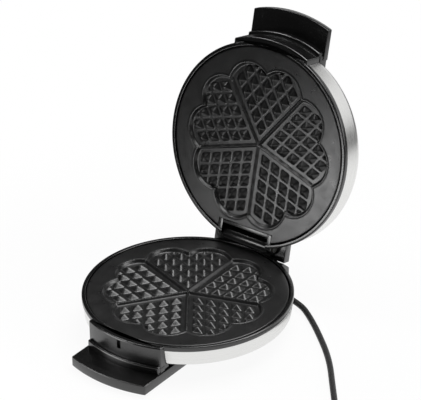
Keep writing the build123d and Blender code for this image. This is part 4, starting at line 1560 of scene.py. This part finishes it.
@dataclass
class BaseCasing:
    """Black plastic of the base: dish with its rim, front block and handle, hinge block."""

    half: Half
    finishes: Finishes
    floor_inner: float = 70.0
    wall_back: float = 108.5
    keel_back: float = 60.0
    rear_front: float = 104.0
    rear_foot: float = 24.0
    rear_top: float = 5.6
    rear_flat_end: float = 117.0
    rear_back: float = 128.0
    rear_slope_end: float = 15.5
    neck: float = 6.0
    slot_depth: float = 3.5
    slot_edge: float = 0.05
    slot_near: float = 1.0
    band_gap: float = 0.3

    def slot(self, outline: np.ndarray, height: float) -> np.ndarray:
        """Depth of the catch's slot: full within its width and height, else none.

        Args:
            outline: The block's outline, in millimetres.
            height: The row's depth.

        Returns:
            How far each point is pushed in.
        """
        near = outline[:, 1] < self.slot_near - BLOCK_RADIUS
        within = near & (np.abs(outline[:, 0]) <= SLOT_HALF)
        deep = SLOT_TOP <= height <= SLOT_BOTTOM
        return np.where(within & deep, self.slot_depth, 0.0)

    def dish(self) -> np.ndarray:
        """Section of the dish, from its rim down outside and back up inside.

        Returns:
            The closed section, as radius and depth.
        """
        return rounded(
            [
                *RIM_CORNERS,
                (BASE_WALL_LOW, BASE_BAND_BOTTOM + self.band_gap, 0.8),
                (DISH_RADIUS, BASE_DEPTH, 5.0),
                (COVER_SEAT, BASE_DEPTH, 0.3),
                (COVER_SEAT, COVER_TOP, 0),
                (self.floor_inner, COVER_TOP, 0),
                (self.floor_inner, FLOOR_TOP, 0),
                (DISH_RADIUS + WALL, FLOOR_TOP, 2.0),
                (BASE_WALL_LOW - WALL, BASE_BAND_BOTTOM - WALL / 2, 0.5),
                (RIM_INNER, RIM_HEIGHT, 0.3),
            ]
        )

    def rear(self) -> np.ndarray:
        """Section of the hinge block.

        Returns:
            The closed section, as the place towards the hinge and the depth.
        """
        return rounded(
            [
                (self.keel_back, self.rear_foot, 0.4),
                (self.rear_front, self.rear_foot, 0.2),
                (self.rear_front, self.rear_top, 0.8),
                (self.rear_flat_end, self.rear_top, 2.0),
                (self.rear_back, self.rear_slope_end, 3.0),
                (self.rear_back, BASE_DEPTH, 1.5),
                (self.keel_back, BASE_DEPTH, 0.4),
            ]
        )

    def build(self) -> None:
        """Builds the casing in place of its node."""
        casing = Casing(self.half)
        casing.turned(self.half, self.dish())
        above, below = SLOT_TOP - self.slot_edge, SLOT_BOTTOM + self.slot_edge
        casing.block(LEDGE_DEPTH, (above, SLOT_TOP, SLOT_BOTTOM, below), self.slot)
        casing.front(LEDGE_DEPTH, BASE_TONGUE_TOP, self.keel_back, BASE_DEPTH)
        wall = front_plan(BLOCK_RADIUS, HANDLE_HALF, BLOCK_CORNER, self.wall_back)
        low, high = LEDGE_DEPTH + 2 * OVERLAP, BASE_TONGUE_TOP + OVERLAP
        casing.slab(self.half.place, wall, low, high, SUNK_EDGE)
        casing.bar(self.rear(), -HANDLE_HALF, HANDLE_HALF, edge=0.9)
        neck_back = HINGE_BEHIND + self.neck
        neck = [
            (HINGE_BEHIND, self.rear_top + 2 * OVERLAP, 0.2),
            (HINGE_BEHIND, -HINGE_ABOVE, 0),
            (neck_back, -HINGE_ABOVE, 0),
            (neck_back, self.rear_slope_end - OVERLAP, 0.2),
        ]
        casing.bar(rounded(neck), -BARREL_HALF, BARREL_HALF, edge=0.4)
        barrel = circle((HINGE_BEHIND, -HINGE_ABOVE), BARREL_RADIUS, count=48)
        casing.bar(barrel, -BARREL_HALF, BARREL_HALF, edge=0.5)
        piece = casing.make("base_casing")
        dress(piece, self.finishes.plastic, Body.BASE, ["base_housing"], Slot.PLASTIC)


@dataclass
class LidCasing:
    """Black plastic of the lid: ring, front block with panel and handle, hinge frame and block."""

    half: Half
    finishes: Finishes
    tongue_back: float = 110.0
    catch_half: float = 2.2
    catch_front: float = -126.5
    catch_back: float = -124.0
    frame_front: float = 98.0
    frame_top: float = 1.2
    block_front: float = 106.0
    block_back: float = 131.5
    block_bottom: float = 16.0
    neck_roof: float = 22.0
    mark_side: float = 39.0
    mark_front: float = -141.0
    mark_radius: float = 1.7
    mark_proud: float = 0.12
    bar_edge: float = 0.05

    def front(self, casing: Casing) -> None:
        """Adds the block, the ledge, the handle, the panel, the catch and two sink marks.

        Args:
            casing: The casing that they are added to.
        """
        ledge = LEDGE_DEPTH + WALL
        casing.block(ledge)
        casing.front(ledge, LID_TONGUE_BOTTOM, self.tongue_back, PANEL_DEPTH)
        place = self.half.place
        panel = front_plan(BLOCK_RADIUS, HANDLE_HALF, BLOCK_CORNER, PANEL_BACK)
        casing.slab(place, panel, LID_RING_DEPTH, PANEL_DEPTH, TONGUE_EDGE)
        catch_ends = (self.catch_front, self.catch_back)
        catch = framed((-self.catch_half, self.catch_half), catch_ends, (0.4, 0.4, 0, 0))
        casing.slab(place, catch, SLOT_TOP, SLOT_BOTTOM, edge=0.3)
        low, high = LID_TONGUE_BOTTOM - self.mark_proud, LID_TONGUE_BOTTOM + OVERLAP
        for side in (-1, 1):
            mark = circle((side * self.mark_side, self.mark_front), self.mark_radius, count=24)
            casing.slab(place, mark, low, high, edge=0.08)

    def hinge(self, casing: Casing) -> None:
        """Adds the cheeks, the two blocks, and the bars round the pocket between them.

        Args:
            casing: The casing that they are added to.
        """
        cheek = [
            (self.frame_front, self.frame_top, 0.8),
            (HINGE_BEHIND, self.frame_top, 6.0),
            (HINGE_BEHIND + BARREL_RADIUS, HINGE_ABOVE, 6.0),
            (HINGE_BEHIND + BARREL_RADIUS, self.block_bottom + WALL, 0.5),
            (self.frame_front, self.block_bottom + WALL, 0.5),
        ]
        ends, depths = (self.block_front, self.block_back), (self.block_bottom, LID_WALL_DEPTH)
        block = framed(ends, depths, (0.4, 1.2, 1.2, 0.4))
        for side in (-1, 1):
            for bar, end in ((rounded(cheek), CHEEK_BACK), (block, HANDLE_HALF)):
                casing.bar(bar, *sorted((side * CHEEK_FRONT, side * end)), edge=0.6)
        pocket = HINGE_BEHIND - SWING_RADIUS
        inner = self.frame_front + OVERLAP
        outer, under = self.block_back - self.bar_edge, LID_WALL_DEPTH - self.bar_edge
        reach = OVERLAP / 2
        bars = (
            ((self.frame_front, pocket), (self.frame_top, self.block_bottom), (0.8, 0.4, 0.2, 0.2)),
            ((inner, outer), (self.neck_roof, under), (0.2, 0.8, 1.2, 0.2)),
            (
                (inner, pocket + reach),
                (self.block_bottom - OVERLAP, self.neck_roof + OVERLAP),
                (0.2, 0.2, 0.2, 0.2),
            ),
        )
        for bar in bars:
            casing.bar(framed(*bar), -CHEEK_FRONT - reach, CHEEK_FRONT + reach, self.bar_edge)

    def build(self) -> None:
        """Builds the casing in place of its node."""
        casing = Casing(self.half)
        corners = ((RIM_SEAT, LID_RING_DEPTH, 0.2), (RIM_INNER, LID_RING_DEPTH, 0.2))
        casing.turned_open(self.half, rounded([*RIM_CORNERS, *corners]), CHEEK_FRONT)
        self.front(casing)
        self.hinge(casing)
        piece = casing.make("lid_casing")
        dress(piece, self.finishes.plastic, Body.LID, ["lid_housing"], Slot.PLASTIC)


# Steel skins


@dataclass
class SteelSkins:
    """The band round the base and the cover over the lid."""

    base: Half
    lid: Half
    finishes: Finishes
    end_gap: float = 0.3
    corner: float = 3.2
    straight_share: float = 0.8
    straight_rows: int = 9
    curved_rows: int = 10
    row_step: float = 0.02
    hem: Pair = (0.35, 0.8)
    brow: Pair = (0.2, 0.5)
    sheet: float = 0.45
    columns: int = 121
    cover_angle: float = 30.0
    flat_share: float = 0.8

    def brushing(self, mesh: Mesh, half: Half) -> None:
        """Gives the sheet a UV map along its brushing.

        Walls read the share of a turn round the disc and the height. A face that looks along the
        disc's axis reads its own plane instead, in the same measure, so it is brushed straight.

        Args:
            mesh: The sheet's mesh.
            half: The half that it belongs to.
        """

        def read(items: bpy_prop_collection, name: str, wide: int = 0) -> np.ndarray:
            """One property of all items: whole numbers, or as many numbers as it is wide.

            Args:
                items: Points, corners or faces of the mesh.
                name: The property's name.
                wide: How many numbers it has, or 0 for one whole number.

            Returns:
                The values, one row for each item.
            """
            values = np.empty(len(items) * max(wide, 1), float if wide else int)
            items.foreach_get(name, values)
            return values.reshape(-1, wide) if wide else values

        local = read(mesh.vertices, "co", 3) - half.origin
        x, y, depth = local @ half.x_dir, local @ half.y_dir, local @ half.z_dir
        loops = read(mesh.loops, "vertex_index")
        facing = np.abs(read(mesh.polygons, "normal", 3) @ half.z_dir)
        flat_on = np.repeat(facing > self.flat_share, read(mesh.polygons, "loop_total"))
        round_map = np.stack([np.arctan2(x, y) / TURN, depth + np.hypot(x, y)], axis=1)[loops]
        flat_map = np.stack([x / (TURN * DISC_RADIUS * MM), y], axis=1)[loops]
        layer = mesh.uv_layers.new(name=BRUSHING)
        values = np.where(flat_on[:, None], flat_map, round_map)
        layer.data.foreach_set("uv", values.reshape(-1))

    def band(self, side: int) -> Object:
        """One length of the base's band.

        Rows run down the sheet and columns along it. Each row starts where the sheet's edge
        stands beside the handle, further in along the quarter circle of the lower corner.

        Args:
            side: The side of the half that it lies on, 1 or -1.

        Returns:
            The piece.
        """
        straight = np.linspace(0, self.straight_share, self.straight_rows)
        curved = np.linspace(self.straight_share + self.row_step, 1, self.curved_rows)
        shares = np.concatenate([straight, curved])
        depth = BAND_TOP + shares * (BASE_BAND_BOTTOM - BAND_TOP)
        left = BASE_BAND_BOTTOM - depth
        down = np.clip(self.corner - left, 0, self.corner)
        edge = HANDLE_HALF + self.end_gap + self.corner - np.sqrt(self.corner**2 - down**2)
        outer = BAND_RADIUS + shares * (BAND_LOW_RADIUS - BAND_RADIUS)
        for (pull, run), away in ((self.hem, left), (self.brow, depth - BAND_TOP)):
            outer = outer - pull * np.clip(1 - away / run, 0, 1) ** 2
        surfaces = []
        for radius in (outer[:, None], outer[:, None] - self.sheet):
            start = np.arcsin(edge[:, None] / radius)
            angles = start + (math.pi - 2 * start) * np.linspace(0, 1, self.columns)
            x, y = side * radius * np.sin(angles), -radius * np.cos(angles)
            surfaces.append(self.base.place(x, y, depth[:, None]))
        shell = Shell()
        ring = np.concatenate([surfaces[0], surfaces[1][::-1]], axis=0)
        shell.grid(np.swapaxes(ring, 0, 1))
        name = "base_band_right" if side < 0 else "base_band_left"
        piece = shell.make(name, smooth_angle=50.0)
        self.brushing(piece.data, self.base)
        return piece

    def build(self, nodes: NodeTable) -> None:
        """Builds both skins in place of their nodes.

        Args:
            nodes: The frame's nodes by their names.
        """
        for side in (-1, 1):
            dress(self.band(side), self.finishes.steel, Body.BASE, ["base_steel_band"], Slot.STEEL)
        cover = smoothed_copy(nodes["lid_steel_cover"], "lid_skin", self.cover_angle)
        self.brushing(cover.data, self.lid)
        dress(cover, self.finishes.steel, Body.LID, ["lid_steel_cover"], Slot.STEEL)


# Browning control


@dataclass
class BrowningControl:
    """The dial with its grip, the printed scale and the lamp lenses on the lid's panel."""

    half: Half
    finishes: Finishes
    back: float = -84.0
    radius: float = 14.0
    taper: float = 0.7
    shoulder: float = 3.2
    dish_edge: float = 4.2
    dish_depth: float = 0.8
    hub: float = 0.4
    height: float = 10.0
    gap: float = 0.4
    flutes: int = 24
    flute_points: int = 8
    flute_depth: float = 0.45
    flute_fades: Pair = (8.0, 5.0)
    skirt: float = 2.0
    pointer_half: float = 0.8
    pointer_front: float = 10.4
    pointer_back: float = 3.0
    pointer_depths: Pair = (1.2, 0.1)
    dots: int = 5
    dot_step: float = 60.0
    first_dot: float = -210.0
    dot_sizes: Pair = (0.6, 0.2)
    mark_circle: float = 18.5
    print_sunk: float = 0.2
    print_proud: float = 0.05
    lens_radius: float = 3.5
    lens_foot: float = 0.1
    lens_dome: float = 0.95
    lens_hub: float = 0.05
    lens_side: float = 30.0

    def dial(self) -> Object:
        """The dial: a fluted skirt that tapers, a rounded shoulder and a dished top.

        The radius at an angle is the profile's radius less a flute, a raised cosine of the flute
        count, which fades out towards the top and the foot.

        Returns:
            The piece.
        """
        dished = self.height - self.dish_depth
        profile = rounded(
            [
                (self.radius, 0.0, 0.3),
                (self.radius - self.taper, self.height, 1.4),
                (self.radius - self.shoulder, self.height, 0.8),
                (self.radius - self.dish_edge, dished, 1.0),
                (self.hub, dished, 0),
                (self.hub, 0.0, 0),
            ]
        )
        angles = np.linspace(0, TURN, self.flutes * self.flute_points, endpoint=False)
        radius, level = profile[:, :1], profile[:, 1:]
        share = np.clip(level / self.height, 0, 1)
        low, high = self.flute_fades
        fade = np.clip(share * low, 0, 1) * np.clip((1 - share) * high, 0, 1)
        depth = self.flute_depth * fade * (radius > self.radius - self.skirt)
        radius = radius - depth * (1 - np.cos(self.flutes * angles)) / 2
        x, y = radius * np.cos(angles), radius * np.sin(angles) + self.back
        foot = PANEL_DEPTH + self.gap
        shell = Shell()
        shell.grid(self.half.place(x, y, foot + level), close=True)
        ends = (self.back - self.pointer_front, self.back - self.pointer_back)
        pointer = framed((-self.pointer_half, self.pointer_half), ends, (0.4, 0.4, 0.4, 0.4))
        low, high = (foot + self.height - depth for depth in self.pointer_depths)
        shell.slab(self.half.place, pointer, low, high, edge=0.1, high_edge=0.3)
        return shell.make("dial_cap")

    def scale(self) -> Object:
        """Printed dots that grow round the dial, flat on the panel.

        Returns:
            The piece.
        """
        shell = Shell()
        for step in range(self.dots):
            turn = math.radians(self.first_dot + self.dot_step * step)
            x, y = self.mark_circle * math.cos(turn), self.mark_circle * math.sin(turn)
            size = self.dot_sizes[0] + self.dot_sizes[1] * step
            dot = circle((x, self.back + y), size, count=20)
            low, high = PANEL_DEPTH - self.print_sunk, PANEL_DEPTH + self.print_proud
            shell.slab(self.half.place, dot, low, high, edge=0.02)
        return shell.make("scale_print")

    def lens(self, name: str, x: float) -> Object:
        """A lens: a straight foot in the panel and a dome, a quarter circle pressed low.

        Args:
            name: The piece's name.
            x: Its place across the panel.

        Returns:
            The piece.
        """
        share = np.linspace(0, 1, 10) * math.pi / 2
        dome = self.lens_radius * np.cos(share[:-1])
        radius = np.concatenate([[self.lens_radius] * 2, dome, [self.lens_hub]])[:, None]
        foot = [-self.lens_radius, -self.lens_foot]
        level = np.concatenate([foot, self.lens_dome * np.sin(share)])
        ring = circle((0, 0), 1.0, count=32)
        across, along = x + radius * ring[:, 0], self.back + radius * ring[:, 1]
        shell = Shell()
        shell.grid(self.half.place(across, along, PANEL_DEPTH + level[:, None]))
        return shell.make(name, smooth_angle=60.0)

    def build(self) -> None:
        """Builds the dial, its scale and the lenses."""
        finishes = self.finishes
        dress(self.dial(), finishes.plastic, Body.DIAL, ["browning_dial"], Slot.PLASTIC)
        dress(self.scale(), finishes.print_white, Body.LID, (), Slot.PLASTIC)
        power = self.lens("power_lens", -self.lens_side)
        dress(power, finishes.red, Body.LID, ["power_lamp_lens"], Slot.LIGHT_RED)
        ready = self.lens("ready_lens", self.lens_side)
        dress(ready, finishes.green, Body.LID, ["ready_lamp_lens"], Slot.LIGHT_GREEN)


# Pieces that keep the frame's own shape


@dataclass
class FrameNodes:
    """Nodes that stay as the frame has them and get a finish."""

    finishes: Finishes

    def finish_of(self) -> dict[str, Material]:
        """Which finish each kept node gets, by its name, where it isn't the black plastic.

        Returns:
            The finishes by the nodes' names.
        """
        f = self.finishes
        table = {
            "hinge_pin": f.dark_metal,
            "hinge_clips": f.dark_metal,
            "dial_shaft": f.dark_metal,
            "terminal_block": f.ceramic,
            "base_leads": f.sheath,
            "plug_pins": f.nickel,
            "power_lamp": f.red,
            "ready_lamp": f.green,
            "bottom_cover_screws": f.zinc,
            "handle_cover_screws": f.zinc,
        }
        for half in ("base", "lid"):
            table[f"{half}_heater"] = f.dark_metal
            table[f"{half}_heater_terminals"] = f.brass
            table[f"{half}_heat_shield"] = f.sheet
            table[f"{half}_shield_screw"] = f.zinc
            table[f"{half}_plate_screws"] = f.zinc
            table[f"{half}_thermal_fuse"] = f.ceramic
        for side in ("left", "right"):
            table[f"hinge_bush_{side}"] = f.brass
            table[f"foot_front_{side}"] = f.foot
            table[f"foot_rear_{side}"] = f.foot
        return table

    def build(self, nodes: NodeTable) -> None:
        """Puts the finishes on the nodes' material slots.

        Args:
            nodes: The frame's nodes by their names.
        """
        table = self.finish_of()
        for name, node in nodes.items():
            if node.hide_render:
                continue
            finish = table.get(name, self.finishes.plastic)
            for slot in node.material_slots:
                slot.material = finish
            log.info("%s keeps its shape, in %s", name, finish.name)


def corners(box: tuple[Vector, Vector]) -> list[list[float]]:
    """A box as plain lists of numbers."""
    return [[float(value) for value in corner] for corner in box]


def main() -> None:
    """Builds every sub-assembly in order."""
    logging.basicConfig(level=logging.INFO, format="%(message)s")
    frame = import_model()
    cad_box = corners(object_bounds())
    nodes = frame["nodes"]
    hinge = next(joint for joint in frame["joints"] if joint["name"] == "lid_hinge")
    base = base_half()
    lid = lid_half(base, hinge)
    finishes = Finishes()
    plates = (
        CookingPlate(base, finishes, "base_plate", Body.BASE, "base_cooking_plate", False),
        CookingPlate(lid, finishes, "lid_plate", Body.LID, "lid_cooking_plate", True),
    )

    Studio().build()
    MainsLead(finishes).build(nodes)
    for plate in plates:
        plate.build()
    BaseCasing(base, finishes).build()
    LidCasing(lid, finishes).build()
    SteelSkins(base, lid, finishes).build(nodes)
    BrowningControl(lid, finishes).build()
    FrameNodes(finishes).build(nodes)

    bpy.context.view_layer.update()
    {"cad": cad_box, "visual": corners(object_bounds())}


if __name__ == "__main__":
    main()
